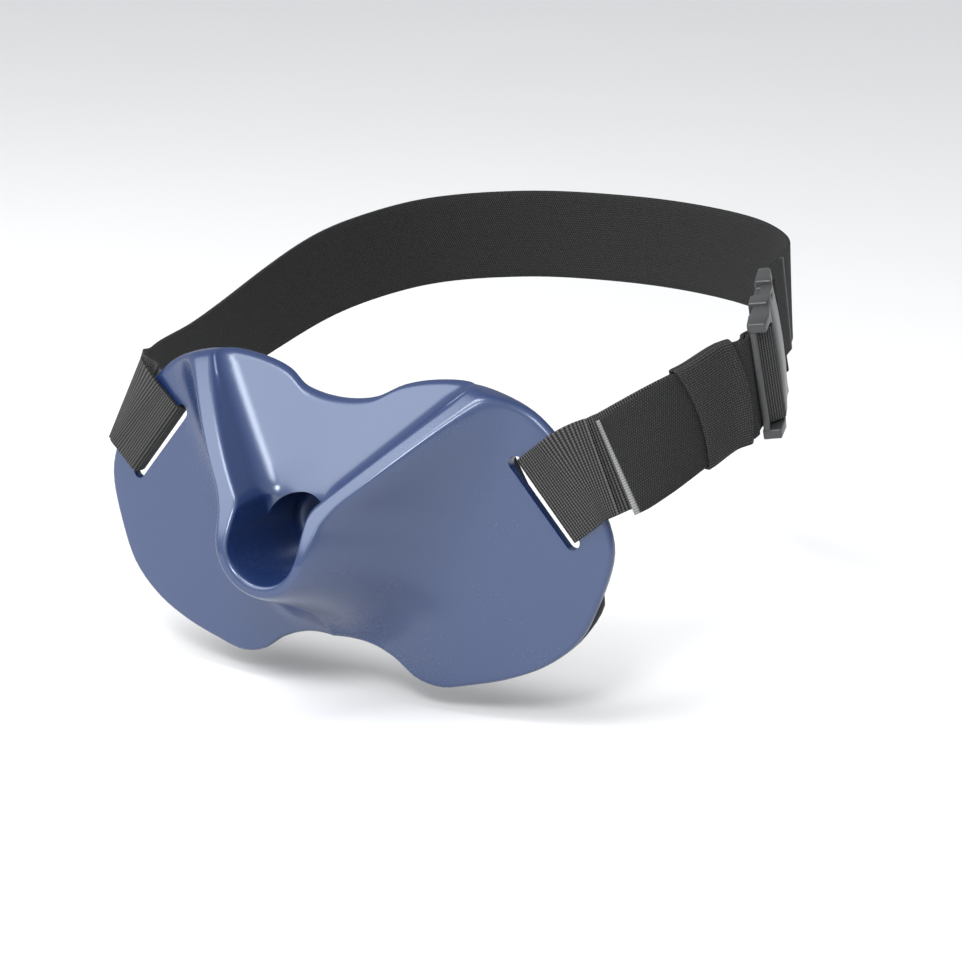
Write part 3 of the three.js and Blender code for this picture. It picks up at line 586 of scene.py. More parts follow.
# %% [markdown]
# From the middle of the cup's floor the rings go out over the floor, up the bore, round the lip,
# over the front to the outline, round the edge, and back across the rear face to its middle.
# The bore leans down a little towards its floor, so its rings drop with depth.

# %% Rings of the plate
FLOOR_SHARES, BORE_SHARES = (0, 0.5, 0.85, 1), (0.2, 0.45, 0.7, 0.9)
LIP_SHARES = (0, 0.06, 0.16, 0.32, 0.55, 0.78, 1)
REAR_SHARES = (0.95, 0.88, 0.78, 0.66, 0.54, 0.42, 0.28, 0.14, 0)
FRONT_RINGS, RING_GROWTH = 70, 1.5
QUARTER_TURN = np.radians([0, 30, 60, 90])
TOP_ROUND_LEVEL, TOP_ROUND_SPAN = 105, 20


def dropped(points, radius):
    fade = np.clip(1 - (np.asarray(radius) - BORE_RADIUS) / BORE_DROP_SPAN, 0, 1)
    points[:, 2] -= BORE_DROP * np.maximum(points[:, 1] + CUP_REACH, 0) * fade * fade
    return points


def bore_rings():
    everywhere = np.ones(SPOKES)
    flat = BORE_RADIUS - CUP_FLOOR_ROUND
    rings = [dropped(ring_points(flat * s * everywhere, -CUP_FLOOR), 0) for s in FLOOR_SHARES]
    for angle in QUARTER_TURN[1:]:
        radius = flat + CUP_FLOOR_ROUND * math.sin(angle)
        y = -CUP_FLOOR - CUP_FLOOR_ROUND * (1 - math.cos(angle))
        rings.append(dropped(ring_points(radius * everywhere, y), 0))
    low = rings[-1]
    high = dropped(ring_points(BORE_RADIUS * everywhere, front_face), BORE_RADIUS)
    return rings + [low + (high - low) * share for share in BORE_SHARES]


def front_rings(ends):
    radii = [BORE_RADIUS + CREST_ROUND * s * np.ones(SPOKES) for s in LIP_SHARES]
    last = radii[-1]
    steps = np.arange(1, FRONT_RINGS + 1) / FRONT_RINGS
    for share in np.expm1(RING_GROWTH * steps) / np.expm1(RING_GROWTH):
        radii.append(last + (ends - front_round(ends) - last) * share)
    return [dropped(ring_points(radius, front_face), radius) for radius in radii]


def front_round(ends):
    """The front edge's radius on each spoke, which is larger along the top, under the hands."""
    rise = np.clip((ring_points(ends, 0)[:, 2] - TOP_ROUND_LEVEL) / TOP_ROUND_SPAN, 0, 1)
    return EDGE_ROUND + (TOP_ROUND - EDGE_ROUND) * eased(rise)


def edge_rings(ends):
    rings = []
    size = front_round(ends)
    for angle in np.radians([15, 30, 45, 60, 75, 90]):
        rings.append(ring_points(ends - size * (1 - math.sin(angle)), front_face))
        rings[-1][:, 1] += size * (1 - math.cos(angle))
    for angle in QUARTER_TURN:
        rings.append(ring_points(ends - REAR_ROUND * (1 - math.cos(angle)), back_face))
        rings[-1][:, 1] -= REAR_ROUND * (1 - math.sin(angle))
    return rings


def rear_rings(ends):
    return [ring_points(ends * share, back_face) for share in REAR_SHARES]


plate_ends = spoke_ends(plate_outline)
plate_rings = bore_rings() + front_rings(plate_ends) + edge_rings(plate_ends) + rear_rings(plate_ends)
plate_skin = spun_skin([to_frame(ring) for ring in plate_rings])
print("plate skin:", len(plate_skin.faces), "faces")

# %% [markdown]
# The strap slots are cut last, with a Boolean, because a slot that crosses the spokes would spoil
# the skin if it were modelled into it. Their rims are then softened as a moulding's are.

# %% Cut the slots
SLOT_LENGTH, SLOT_WIDTH, SLOT_TILT = 55, 7.5, math.radians(39.7)
SLOT_SHARE_ACROSS, SLOT_SHARE_UP = 0.766, 0.6086
SLOT_ACROSS, SLOT_LEVEL = SLOT_SHARE_ACROSS * PLATE_HALF_WIDTH, SLOT_SHARE_UP * PLATE_HEIGHT
SLOT_ROUND_STEPS, SLOT_SOFT, SLOT_CORNER = 12, 0.8, 1.2
NEAR_ACROSS, NEAR_UP = 0.55 * SLOT_LENGTH, 0.6 * SLOT_LENGTH
CUTTER_START, CUTTER_DEPTH = -30, 80


def slot_cutter(side):
    made = bmesh.new()
    half = (SLOT_LENGTH - SLOT_WIDTH) / 2
    ends = []
    for end in (1, -1):
        for step in range(SLOT_ROUND_STEPS + 1):
            angle = math.pi * step / SLOT_ROUND_STEPS + (0 if end > 0 else math.pi)
            ends.append((SLOT_WIDTH / 2 * math.cos(angle), end * half + SLOT_WIDTH / 2 * math.sin(angle)))
    turn = side * SLOT_TILT
    rim = []
    for u, v in ends:
        x = side * SLOT_ACROSS + u * math.cos(turn) - v * math.sin(turn)
        z = SLOT_LEVEL + u * math.sin(turn) + v * math.cos(turn)
        rim.append(made.verts.new(to_frame([x, CUTTER_START, z])))
    face = made.faces.new(rim)
    grown = bmesh.ops.extrude_face_region(made, geom=[face])
    moved = [v for v in grown["geom"] if isinstance(v, bmesh.types.BMVert)]
    bmesh.ops.translate(made, verts=moved, vec=(0, CUTTER_DEPTH / MM_PER_METRE, 0))
    bmesh.ops.recalc_face_normals(made, faces=made.faces[:])
    return as_object("slot_cutter", made)


def cut_slots(made):
    blank = as_object("uncut", made)
    cutters = [slot_cutter(1), slot_cutter(-1)]
    for cutter in cutters:
        boolean = blank.modifiers.new("slot", "BOOLEAN")
        boolean.operation, boolean.solver, boolean.object = "DIFFERENCE", "EXACT", cutter
    bpy.context.view_layer.update()
    result = bmesh.new()
    result.from_mesh(blank.evaluated_get(bpy.context.evaluated_depsgraph_get()).to_mesh())
    for used in (blank, *cutters):
        bpy.data.objects.remove(used)
    return result


def sharp_edges(made, bend):
    return [e for e in made.edges if len(e.link_faces) == 2 and e.calc_face_angle(0) > bend]


def soften(made, edges, offset):
    bmesh.ops.bevel(made, geom=edges, offset=offset, offset_type="OFFSET", affect="EDGES", segments=3,
                    profile=0.5, material=-1, clamp_overlap=True)


def by_slot(edge):
    x, _, z = np.array(edge.verts[0].co) * MM_PER_METRE + WAIST
    return abs(abs(x) - SLOT_ACROSS) < NEAR_ACROSS and abs(z - SLOT_LEVEL) < NEAR_UP


plate_cut = cut_slots(plate_skin)
rims = [edge for edge in sharp_edges(plate_cut, SLOT_CORNER) if by_slot(edge)]
soften(plate_cut, rims, SLOT_SOFT / MM_PER_METRE)
plate = piece("cup_plate_moulding", plate_cut, blue, node="cup_plate", smooth=50)
print("slot rims softened:", len(rims))

# %% [markdown]
# ## Foam pad
# The pad follows the back of the plate and is soft, so its rear face swells a little between its
# edges. It is spun on the same spokes as the plate, inside its own outline.

# %% Back pad
# Columns: across as a share of the half width, up as a share of the height.
PAD_OUTLINE = [
    (0, 0.84), (0.2, 0.885), (0.4, 0.925), (0.53, 0.91), (0.6, 0.8), (0.7, 0.61), (0.8, 0.426),
    (0.9, 0.345), (0.955, 0.266), (0.893, 0.127), (0.787, 0.022), (0.653, -0.046), (0.507, -0.092),
    (0.4, -0.116), (0.313, -0.096), (0.227, -0.035), (0.12, 0.008), (0, 0.018),
]
PAD_THICKNESS, PAD_ROUND, FIT_GAP = 5, 1.6, 0.3
PAD_SWELL, SWELL_SHARE = 0.9, 0.12
PAD_FRONT_SHARES = (0, 0.3, 0.6, 0.85, 0.97, 1)
PAD_REAR_SHARES = (0.97, 0.92, 0.85, 0.72, 0.58, 0.42, 0.25, 0)


def pad_ring(radius, depth):
    """A ring that lies behind the plate, at a depth into the pad."""
    return ring_points(radius, lambda x, z: back_face(x, z) + FIT_GAP + depth)


def pad_rings(ends):
    rings = [pad_ring((ends - PAD_ROUND / 2) * share, 0) for share in PAD_FRONT_SHARES]
    rings.append(pad_ring(ends, PAD_ROUND / 2))
    for angle in QUARTER_TURN:
        depth = PAD_THICKNESS - PAD_ROUND * (1 - math.sin(angle))
        rings.append(pad_ring(ends - PAD_ROUND * (1 - math.cos(angle)), depth))
    for share in PAD_REAR_SHARES:
        swell = PAD_SWELL * min((1 - share) / SWELL_SHARE, 1) ** 0.5
        rings.append(pad_ring((ends - PAD_ROUND) * share, PAD_THICKNESS + swell))
    return rings


pad_skin = spun_skin([to_frame(r) for r in pad_rings(spoke_ends(outline_around_cup(PAD_OUTLINE)))])
pad = piece("back_pad_foam", pad_skin, foam, node="back_pad")
print("pad box:", [round(v, 3) for v in pad.dimensions])

# %% [markdown]
# ## Webbing
# All the webbing lies on one route: out of the slot on the wearer's left, along the hip to the
# buckle, straight through it, round the back, and forward to the slot on the right. A layer of
# strap is then only a list of places along that route and how far outside it each one lies.

# %% The route
WEB_WIDTH, WEB_THICKNESS, PLATE_GAP = 50, 2, 0.5
LOOP_HALF_WIDTH, LOOP_DEPTH, STRAP_RISE, SLOT_RUN = 184, 300, 76, 27
YOKE_LENGTH, BODY_LENGTH, BUCKLE_LEAD = 24, 48, 9
BUCKLE_LENGTH = YOKE_LENGTH + BODY_LENGTH
BUCKLE_TURN, BUCKLE_TILT = math.radians(19), math.radians(10)
ROUTE_SAMPLES = 4000
# Columns: across, back and up, as shares of the loop's half width, its depth and the strap's rise.
HIP_ROUTE = [(0.805, 0.072, 0.301), (0.886, 0.135, 0.426), (0.937, 0.187, 0.507), (0.979, 0.25, 0.582)]
BAR_SHARES = (1, 0.312, 0.637)
BACK_ROUTE = [
    (0.76, 0.76, 0.88), (0.56, 0.9, 0.9), (0.3, 0.975, 0.9), (0, 1, 0.892), (-0.337, 0.97, 0.866),
    (-0.609, 0.873, 0.8), (-0.772, 0.717, 0.668), (-0.85, 0.56, 0.53), (-0.872, 0.4, 0.42),
    (-0.856, 0.26, 0.35), (-0.834, 0.157, 0.31), (-0.8, 0.081, 0.285),
]


def on_plate(distance, side=1):
    x = SLOT_ACROSS + distance * math.cos(SLOT_TILT)
    z = SLOT_LEVEL + distance * math.sin(SLOT_TILT)
    return np.array([side * x, plate_face(x, z) - PLATE_GAP - WEB_THICKNESS / 2, z])


def on_route(across, back, rise):
    return np.array([across * LOOP_HALF_WIDTH, back * LOOP_DEPTH, SLOT_LEVEL + rise * STRAP_RISE])


BAR_POINT = on_route(*BAR_SHARES)
BUCKLE_AXIS = np.array([-math.sin(BUCKLE_TURN) * math.cos(BUCKLE_TILT),
                        math.cos(BUCKLE_TURN) * math.cos(BUCKLE_TILT), math.sin(BUCKLE_TILT)])
BUCKLE_STATIONS = (-BUCKLE_LEAD, 0, BUCKLE_LENGTH / 2, BUCKLE_LENGTH, BUCKLE_LENGTH + BUCKLE_LEAD)
route = smooth_curve(
    [on_plate(d) for d in (0, SLOT_RUN / 2, SLOT_RUN)] + [on_route(*row) for row in HIP_ROUTE]
    + [BAR_POINT + BUCKLE_AXIS * d for d in BUCKLE_STATIONS]
    + [on_route(*row) for row in BACK_ROUTE] + [on_plate(d, -1) for d in (SLOT_RUN, SLOT_RUN / 2, 0)],
    False, ROUTE_SAMPLES)
travelled = walked(route)
LOOP_LENGTH = travelled[-1]
BUCKLE_START = travelled[np.argmin(np.linalg.norm(route[:ROUTE_SAMPLES // 2] - BAR_POINT, axis=1))]
BUCKLE_END = BUCKLE_START + BUCKLE_LENGTH
# Columns: place along the route, how far the strap rises there in millimetres, its roll in degrees.
SETTLE = np.array([
    (0, 0, 0), (18, 0, 0), (37, 0.3, 12), (43, 0.6, 10.5), (60, 1, 9), (88, 1.5, 7.5), (118, 3.4, 6.5),
    (BUCKLE_START - 3, 4, 8), (BUCKLE_END, 4, 8), (320, 0, 0), (LOOP_LENGTH - 260, 0, 0),
    (LOOP_LENGTH - 120, -12, 8), (LOOP_LENGTH - 72, -9, 11), (LOOP_LENGTH - 40, -2, 11),
    (LOOP_LENGTH - 27, 0, 0), (LOOP_LENGTH, 0, 0),
])
print("loop is", round(LOOP_LENGTH), "mm from slot to slot, buckle bar at", round(BUCKLE_START, 1))

# %% [markdown]
# At each place the route also says which way the strap faces. Near the slots it lies on the
# plate, and beyond them it gradually stands upright, as webbing does round a waist. Worn webbing
# also leans in at its top and rides up or down a little, which the last table above sets out.

# %% Places on the route
LOOK_AHEAD, TURN_RUN = 0.8, 3 * SLOT_RUN


def unit(vectors):
    return vectors / np.linalg.norm(vectors, axis=1)[:, None]


def route_frame(along):
    """The point, the direction along, the direction up and the outward one at places on the route."""
    inside = np.clip(along, 0, LOOP_LENGTH)

    def at(distance):
        return np.stack([np.interp(distance, travelled, route[:, k]) for k in range(3)], 1)

    ahead, behind = np.minimum(inside + LOOK_AHEAD, LOOP_LENGTH), np.maximum(inside - LOOK_AHEAD, 0)
    tangent = unit(at(ahead) - at(behind))
    point = at(inside) + tangent * (along - inside)[:, None]
    upright = unit(np.cross(tangent, [0, 0, 1]))
    ones = np.ones(len(point))
    flat = unit(np.stack([point[:, 0] / PLATE_CURVE_RADIUS, -ones, PLATE_LEAN * ones], 1))
    share = np.clip((np.minimum(along, LOOP_LENGTH - along) - SLOT_RUN) / TURN_RUN, 0, 1)
    lift = eased(share)[:, None]
    outward = flat * (1 - lift) + upright * lift
    outward = unit(outward - tangent * np.sum(outward * tangent, axis=1)[:, None])
    across = np.cross(outward, tangent)
    row = np.clip(np.searchsorted(SETTLE[:, 0], inside, side="right"), 1, len(SETTLE) - 1)
    before, after = SETTLE[row - 1], SETTLE[row]
    share = eased((inside - before[:, 0]) / (after[:, 0] - before[:, 0]))[:, None]
    rise, roll = (before[:, 1:] + (after[:, 1:] - before[:, 1:]) * share).T[:, :, None]
    roll = np.radians(roll)
    up = across * np.cos(roll) - outward * np.sin(roll)
    return point + up * rise, tangent, up, outward * np.cos(roll) + across * np.sin(roll)


print("strap faces", route_frame(np.array([60.0]))[3].round(2)[0], "at 60 mm from the slot")

# %% [markdown]
# A strap starts as a flat grid, one row of faces along it for each station of its profile. The
# grid's points move onto the route, its coordinates along and across are stored for the weave,
# and a Solidify and a Bevel modifier give the strap its thickness and soft selvedges. Each layer
# is made a trace narrower and thinner than the webbing, so that layers that lie together don't meet.

# %% Lay a strap on the route
ACROSS_CELLS = 10
WIDTH_SPARE, THICKNESS_SPARE, SELVEDGE_ROUND = 0.6, 0.1, 0.6
FOLD_STEPS, SAME_PLACE = 10, 0.05
ALONG, OUT, SHIFT, COARSE, SEAL = range(5)  # the columns of a profile


def thicken(thing, thickness, edge_round):
    """Gives a sheet of cloth its thickness and soft edges, both in millimetres."""
    solid = thing.modifiers.new("thickness", "SOLIDIFY")
    solid.thickness, solid.offset = thickness / MM_PER_METRE, 0
    bevel = thing.modifiers.new("selvedge", "BEVEL")
    bevel.width, bevel.segments = edge_round / MM_PER_METRE, 2
    bevel.limit_method, bevel.angle_limit = "ANGLE", math.radians(60)


def strap(name, profile, node):
    """A strap from rows of place along the route, distance out, shift across, coarseness and seal."""
    profile = np.asarray(profile, float)
    point, _, across, outward = route_frame(profile[:, ALONG])
    middle = point + outward * profile[:, OUT, None] + across * profile[:, SHIFT, None]
    length = walked(middle)
    made = bmesh.new()
    bmesh.ops.create_grid(made, x_segments=len(profile) - 1, y_segments=ACROSS_CELLS, size=1)
    weave = made.verts.layers.float_vector.new("weave_mm")
    sealed = made.verts.layers.float.new("sealed")
    for vert in made.verts:
        station = round((vert.co.x + 1) / 2 * (len(profile) - 1))
        offset = vert.co.y * (WEB_WIDTH - WIDTH_SPARE) / 2
        vert.co = to_frame(middle[station] + across[station] * offset)
        vert[weave] = (length[station], offset, profile[station, COARSE])
        vert[sealed] = profile[station, SEAL]
    thing = piece(name, made, webbing, node=node, smooth=60)
    thicken(thing, WEB_THICKNESS - THICKNESS_SPARE, SELVEDGE_ROUND)
    print(name, "is", round(length[-1]), "mm long when laid flat")


def run(start, end, out_start, out_end, step=3.0, shift=(0, 0), coarse=0, seal=(0, 0)):
    """Rows from one place to another, at distances out that change gently between the two."""
    count = max(int(abs(end - start) / step), 2)
    rows = []
    for share in np.linspace(0, 1, count + 1):
        rows.append((start + (end - start) * share, out_start + (out_end - out_start) * eased(share),
                     shift[0] + (shift[1] - shift[0]) * share, coarse,
                     seal[0] + (seal[1] - seal[0]) * share))
    return rows


def fold(along, out_start, out_end, reach, coarse=0):
    """Rows of a half turn round a bar or an edge, which reaches so far past its place."""
    middle, half = (out_start + out_end) / 2, (out_start - out_end) / 2
    return [(along + reach * math.sin(angle), middle + half * math.cos(angle), 0, coarse, 0)
            for angle in np.linspace(0, math.pi, FOLD_STEPS + 1)]


def joined(*parts):
    """All the rows in a row, without those that fall on the one before."""
    rows = list(parts[0])
    for part in parts[1:]:
        rows += [row for row in part
                 if abs(row[ALONG] - rows[-1][ALONG]) + abs(row[OUT] - rows[-1][OUT]) > SAME_PLACE]
    return rows


print("strap helpers ready")

# %% [markdown]
# The strap at the left hip is one length. Its short end lies on the plate's front, goes through
# the slot and comes back behind the plate, then runs to the buckle's middle bar, over it, under
# its front bar, and back on the outside as the loose tail. The tail's end is sealed with heat,
# which leaves a smooth bead, painted pale grey as a highlight, and it hangs a little low beside the plate.

# %% Left hip strap
LAYER = WEB_THICKNESS + FIT_GAP
BEHIND_PLATE = -(PLATE_WALL + WEB_THICKNESS + 3 * PLATE_GAP)
SLOT_EDGE, FOLD_REACH, SEAM = SLOT_WIDTH / 2 + 0.25, 2.2, 9
LOOP_END, LOOP_DIP, LOOP_BULGE, PLATE_MARGIN = 37, 29, 20, 33
DIP_OUT, BULGE_OUT = -0.5, 0.5
TAIL_END, TAIL_DROP, KEEPER_START = 43, -3.4, 88
MIDDLE_BAR, MIDDLE_BAR_OUT, BAR_WRAP = 11, 8.7, 3.1
BASE_OUT, FRONT_BAR_OUT = -1.2, 1.5


def slot_fold():
    """From the short end on the plate's front, through the slot, to the main layer beyond."""
    return joined(
        run(LOOP_END, LOOP_END - 1, -0.7, -0.6, 0.5, coarse=1, seal=(0.7, 0)),
        run(LOOP_END - 1, LOOP_DIP, -0.6, DIP_OUT, 1.5, coarse=1),
        run(LOOP_DIP, LOOP_BULGE, DIP_OUT, BULGE_OUT, 1.5, coarse=1),
        run(LOOP_BULGE, SLOT_EDGE, BULGE_OUT, 0, 1.5, coarse=1),
        fold(SLOT_EDGE, 0, BEHIND_PLATE, -FOLD_REACH, coarse=1),
        run(SLOT_EDGE, PLATE_MARGIN, BEHIND_PLATE, BEHIND_PLATE, coarse=1),
        run(PLATE_MARGIN, PLATE_MARGIN + SEAM, BEHIND_PLATE, -LAYER, 1.5, coarse=1))


def loose_tail():
    """From the keeper to the sealed end, which hangs low and stands off a little."""
    low = (TAIL_DROP, TAIL_DROP)
    return joined(
        run(KEEPER_START, TAIL_END + 6, 0, 0.1, shift=(0, TAIL_DROP)),
        run(TAIL_END + 6, TAIL_END + 2.2, 0.1, 0.5, 1, shift=low),
        run(TAIL_END + 2.2, TAIL_END + 1.4, 0.5, 0.6, 0.4, shift=low, seal=(0, 1)),
        run(TAIL_END + 1.4, TAIL_END, 0.6, 0.7, 0.5, shift=low, seal=(1, 1)))


bar = BUCKLE_START + MIDDLE_BAR
left_profile = joined(
    slot_fold(),
    run(PLATE_MARGIN + SEAM, BUCKLE_START - SEAM, -LAYER, -LAYER, coarse=1),
    run(BUCKLE_START - SEAM, BUCKLE_START, -LAYER, BASE_OUT, 1.5),
    run(BUCKLE_START, bar, BASE_OUT, MIDDLE_BAR_OUT - BAR_WRAP, 1.5),
    fold(bar, MIDDLE_BAR_OUT - BAR_WRAP, MIDDLE_BAR_OUT + BAR_WRAP, BAR_WRAP, coarse=1),
    run(bar, BUCKLE_START - 1, MIDDLE_BAR_OUT + BAR_WRAP, FRONT_BAR_OUT, 1, coarse=1),
    run(BUCKLE_START - 1, BUCKLE_START - SEAM, FRONT_BAR_OUT, 0, 1.5),
    run(BUCKLE_START - SEAM, KEEPER_START, 0, 0),
    loose_tail())
strap("left_hip_webbing", left_profile, "strap_left_hip")
print("left strap stations:", len(left_profile))

# %% [markdown]
# The strap round the back is sewn to the buckle's other half, with its short return on the
# outside, and folds through the right-hand slot in the same way as the first.

# %% Strap round the back
RETURN_LENGTH, RETURN_SEAL = 38, 1.5
FAR_BAR, FAR_BAR_OUT = BUCKLE_END - 3.2, 2.2
BEND_RUN = 130
mirrored = [(LOOP_LENGTH - row[ALONG], *row[OUT:]) for row in slot_fold()][::-1]
return_end = BUCKLE_END + RETURN_LENGTH
back_profile = joined(
    run(return_end, return_end - RETURN_SEAL, 0, 0, 0.5, seal=(1, 0.2)),
    run(return_end - RETURN_SEAL, BUCKLE_END + SEAM, 0, 0),
    run(BUCKLE_END + SEAM, FAR_BAR, 0, FAR_BAR_OUT + BAR_WRAP, 1.5),
    fold(FAR_BAR, FAR_BAR_OUT + BAR_WRAP, FAR_BAR_OUT - BAR_WRAP, -BAR_WRAP),
    run(FAR_BAR, BUCKLE_END + SEAM, FAR_BAR_OUT - BAR_WRAP, -LAYER, 1.5),
    run(BUCKLE_END + SEAM, LOOP_LENGTH - BEND_RUN, -LAYER, -LAYER, 5),
    run(LOOP_LENGTH - BEND_RUN, LOOP_LENGTH - PLATE_MARGIN - SEAM, -LAYER, -LAYER, 3),
    mirrored)
strap("round_back_webbing", back_profile, "strap_round_back")
print("back strap stations:", len(back_profile))

# %% [markdown]
# The keeper is a short band of the same cloth, closed into a flat loop that holds the tail
# against the strap. Its ribs run the other way, because it goes round the strap and not along it.

# %% Keeper
KEEPER_WIDTH, KEEPER_THICKNESS, KEEPER_SLACK, KEEPER_CORNER = 32, 1.8, 0.45, 1.6
KEEPER_CELLS, KEEPER_LEVELS, KEEPER_BOW, KEEPER_OUT, KEEPER_EDGE = 72, 10, 3.4, 3, 0.5
KEEPER_STRETCH = 1.15  # widens the weave's coordinate, so its ribs lie a little closer
KEEPER_COARSE = 0.5


def keeper_path(count):
    """Places round the two layers of strap: distance across and distance out."""
    half = WEB_WIDTH / 2 + FIT_GAP + KEEPER_THICKNESS / 2
    deep = WEB_THICKNESS + KEEPER_SLACK + KEEPER_THICKNESS / 2
    line = []
    for side, face, start in ((1, 1, 0), (-1, 1, 90), (-1, -1, 180), (1, -1, 270)):
        for angle in np.radians(start + np.arange(0, 91, 15)):
            line.append((side * (half - KEEPER_CORNER) + KEEPER_CORNER * math.cos(angle),
                         face * (deep - KEEPER_CORNER) + KEEPER_CORNER * math.sin(angle)))
    line = np.array(line + line[:1])
    distance = walked(line)
    stops = np.linspace(0, distance[-1], count, endpoint=False)
    return np.stack([np.interp(stops, distance, line[:, k]) for k in (0, 1)], 1), stops


def keeper_loop():
    places, stops = keeper_path(KEEPER_CELLS)
    stations = np.linspace(KEEPER_START, KEEPER_START + KEEPER_WIDTH, KEEPER_LEVELS + 1)
    point, tangent, across, outward = route_frame(stations)
    made = bmesh.new()
    bmesh.ops.create_circle(made, cap_ends=False, segments=KEEPER_CELLS, radius=1)
    grown = made.edges[:]
    for level in range(1, len(stations)):
        result = bmesh.ops.extrude_edge_only(made, edges=grown)
        grown = [g for g in result["geom"] if isinstance(g, bmesh.types.BMEdge)]
        bmesh.ops.translate(made, verts=list({v for e in grown for v in e.verts}), vec=(0, 0, 1))
    weave = made.verts.layers.float_vector.new("weave_mm")
    made.verts.layers.float.new("sealed")
    for vert in made.verts:
        level = round(vert.co.z)
        cell = round(math.atan2(vert.co.y, vert.co.x) / (2 * math.pi) * KEEPER_CELLS) % KEEPER_CELLS
        side, out = places[cell]
        bow = KEEPER_BOW * (1 - (side / (WEB_WIDTH / 2)) ** 2) * max(out, 0) / KEEPER_OUT
        flat_spot = point[level] + across[level] * side + outward[level] * (out - LAYER / 2)
        vert.co = to_frame(flat_spot + tangent[level] * bow)
        vert[weave] = (stops[cell] * KEEPER_STRETCH, stations[level], KEEPER_COARSE)
    bmesh.ops.recalc_face_normals(made, faces=made.faces[:])
    return made


keeper = piece("keeper_webbing", keeper_loop(), webbing, node="keeper_loop", smooth=60)
thicken(keeper, KEEPER_THICKNESS - 2 * THICKNESS_SPARE, KEEPER_EDGE)
print("keeper is", KEEPER_WIDTH, "mm wide")

# %% [markdown]
# ## Buckle
# Each half of the buckle is a flat moulding with windows in it. A grid of a few cells is laid out
# along and across the strap, the cells of the windows are taken out, the rest is extruded, and
# both of its faces are then lifted to their own heights. Bars are blocks let into the sides.

# %% Flat mouldings with windows
BUCKLE_SPOT, BUCKLE_ALONG, BUCKLE_UP, BUCKLE_OUT = (v[0] for v in route_frame(np.array([BUCKLE_START])))
YOKE_HALF, BODY_HALF, BODY_LIP, RAIL_INSIDE = 31, 31.5, 27.5, 26
BAR_HALF = RAIL_INSIDE + 1.5
SHARP_BEND = math.radians(32)


def face_height(rows, crown=0):
    """A face's height from rows of place along and distance out, lower by the crown at the sides."""
    places, outs = zip(*rows)
    return lambda along, up: np.interp(along, places, outs) - crown * (up / BODY_HALF) ** 2


def moulding(along_lines, up_lines, windows, low, high, side=lambda along, up: up):
    """A plate with windows, whose columns are start, end, and from and to on both sides."""
    made = bmesh.new()
    counts = len(along_lines) - 1, len(up_lines) - 1
    bmesh.ops.create_grid(made, x_segments=counts[0], y_segments=counts[1], size=1)
    for vert in made.verts:
        column, row = round((vert.co.x + 1) / 2 * counts[0]), round((vert.co.y + 1) / 2 * counts[1])
        vert.co = (along_lines[column], up_lines[row], 0)
    middles = {face: face.calc_center_median() for face in made.faces}
    gone = [face for face, spot in middles.items()
            if any(w[0] < spot.x < w[1] and w[2] <= abs(spot.y) < w[3] for w in windows)]
    bmesh.ops.delete(made, geom=gone, context="FACES")
    grown = bmesh.ops.extrude_face_region(made, geom=made.faces[:])
    lifted = {g for g in grown["geom"] if isinstance(g, bmesh.types.BMVert)}
    for vert in made.verts:
        along, up = vert.co.x, vert.co.y
        vert.co = (along, side(along, up), high(along, up) if vert in lifted else low(along, up))
    bmesh.ops.recalc_face_normals(made, faces=made.faces[:])
    return made


def bar_block(made, start, end, low, high):
    """Adds a bar that lies across the strap between the two sides."""
    for vert in bmesh.ops.create_cube(made, size=1)["verts"]:
        vert.co = ((start + end) / 2 + vert.co.x * (end - start), vert.co.y * 2 * BAR_HALF,
                   (low + high) / 2 + vert.co.z * (high - low))


def buckle_half(name, node, made, edge):
    soften(made, sharp_edges(made, SHARP_BEND), edge)
    for vert in made.verts:
        along, up, out = vert.co
        vert.co = to_frame(BUCKLE_SPOT + BUCKLE_ALONG * along + BUCKLE_UP * up + BUCKLE_OUT * out)
    piece(name, made, buckle_plastic, node=node)


print("buckle lies along", BUCKLE_ALONG.round(2))

# %% [markdown]
# The yoke is the half that the strap is threaded through. The strap comes up between its middle bar
# and its base, over the middle bar, and down under the front bar, which grips it. Its two prongs
# reach into the other half, where their ends show at the sides as the buttons.

# %% Buckle yoke
YOKE_FRONT, YOKE_STEP, YOKE_BASE, PRONG_ROOT, PRONG_MIDDLE, PRONG_END = -3, 10, 17.5, 25, 34, 53
STEP_WIDTH, PRONG_TAPER, YOKE_EDGE = 1.4, 0.962, 0.7
# Columns: start, end, low and high of a bar.
FRONT_BAR_PLACE = (YOKE_FRONT + 0.3, 0.7, 2.9, 6.4)
MIDDLE_BAR_PLACE = (MIDDLE_BAR - 1.8, MIDDLE_BAR + 1.8, 7.0, 10.4)


def yoke_side(along, up):
    outer = abs(up) >= YOKE_HALF
    return up * (PRONG_TAPER if outer and along > YOKE_STEP else 1)


yoke_shape = moulding(
    [YOKE_FRONT, YOKE_STEP, YOKE_STEP + STEP_WIDTH, YOKE_BASE, PRONG_ROOT, PRONG_MIDDLE, PRONG_END],
    [-YOKE_HALF, -RAIL_INSIDE, RAIL_INSIDE, YOKE_HALF],
    [(YOKE_FRONT, YOKE_BASE, 0, RAIL_INSIDE), (PRONG_ROOT, PRONG_END, 0, RAIL_INSIDE)],
    face_height([(YOKE_FRONT, 2.4), (1, 1.7), (PRONG_ROOT, 1.7), (PRONG_MIDDLE, 2.6)]),
    face_height([(YOKE_FRONT, 11.6), (YOKE_STEP, 12.3), (PRONG_ROOT, 10.2), (PRONG_MIDDLE, 8.4)]),
    yoke_side)
bar_block(yoke_shape, *FRONT_BAR_PLACE)
bar_block(yoke_shape, *MIDDLE_BAR_PLACE)
buckle_half("buckle_yoke_moulding", "buckle_yoke", yoke_shape, YOKE_EDGE)
print("yoke is", PRONG_END - YOKE_FRONT, "mm long with its prongs")

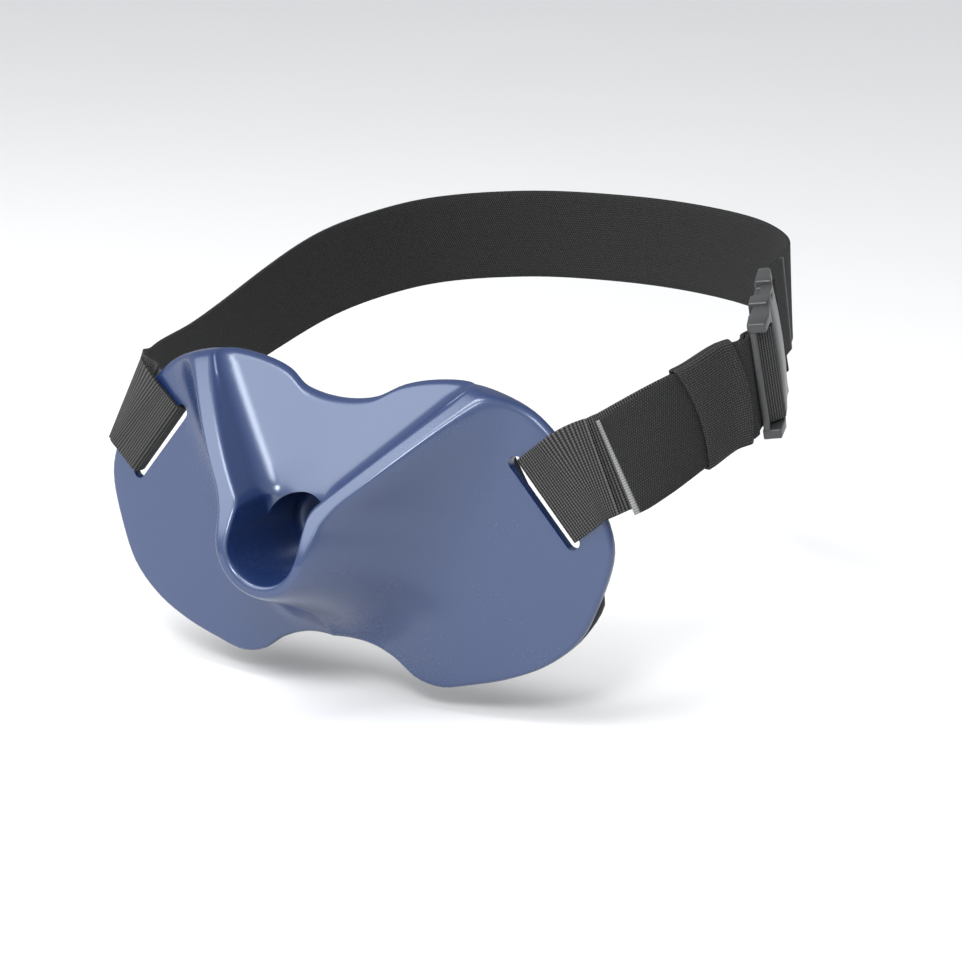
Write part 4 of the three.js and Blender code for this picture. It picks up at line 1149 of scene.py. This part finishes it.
# %% [markdown]
# The body is the half that the yoke clips into. Its outer face is crowned and falls towards the
# back, where the strap round the waist is sewn on a bar, and its sides are open at the buttons.

# %% Buckle body
BODY_MOUTH, BODY_BROW, BUTTON_START, BUTTON_END, BODY_SHOULDER = YOKE_LENGTH, 28, 35, 53.5, 59
BODY_END, BODY_EDGE = BUCKLE_LENGTH, 0.9
FAR_BAR_PLACE = (67, 70.6, 0.4, 4)
body_shape = moulding(
    [BODY_MOUTH, BODY_BROW, BUTTON_START, 44, BUTTON_END, BODY_SHOULDER, 66, BODY_END],
    [-BODY_HALF, -BODY_LIP, -RAIL_INSIDE, -13, 0, 13, RAIL_INSIDE, BODY_LIP, BODY_HALF],
    [(BUTTON_START, BUTTON_END, BODY_LIP, BODY_HALF), (BODY_SHOULDER, BODY_END, 0, RAIL_INSIDE)],
    face_height([(BODY_MOUTH, -1), (BODY_END, -2)], crown=-0.6),
    face_height([(BODY_MOUTH, 10.8), (BODY_BROW, 11.6), (BUTTON_START, 11.2), (BUTTON_END, 9.2),
                 (BODY_SHOULDER, 8.2), (BODY_END, 6.2)], crown=1.6))
bar_block(body_shape, *FAR_BAR_PLACE)
buckle_half("buckle_body_moulding", "buckle_body", body_shape, BODY_EDGE)
print("body is", BODY_END - BODY_MOUTH, "mm long")

# %% [markdown]
# ## Floor
# The belt is held up as it is worn. A plain pale floor lies just under its lowest point, far
# enough in every direction to fill the view.

# %% Floor
FLOOR_LEVEL, FLOOR_HALF = -0.14, 8
FLOOR_DARK, FLOOR_LIGHT = (0.83, 0.83, 0.83), (0.86, 0.86, 0.86)
floor_finish = Finish("pale_floor", Specular_IOR_Level=0.2)
floor_finish.shade("Base Color", floor_finish.between(FLOOR_DARK, FLOOR_LIGHT, floor_finish.noise(3)))
floor_finish.shade("Roughness", 0.85 + floor_finish.noise(40) * 0.1)
sheet = bmesh.new()
bmesh.ops.create_grid(sheet, x_segments=4, y_segments=4, size=FLOOR_HALF)
bmesh.ops.translate(sheet, verts=sheet.verts[:], vec=(0, 0, FLOOR_LEVEL))
floor = as_object("floor", sheet)
floor.data.materials.append(floor_finish.material)
print("floor at", FLOOR_LEVEL)
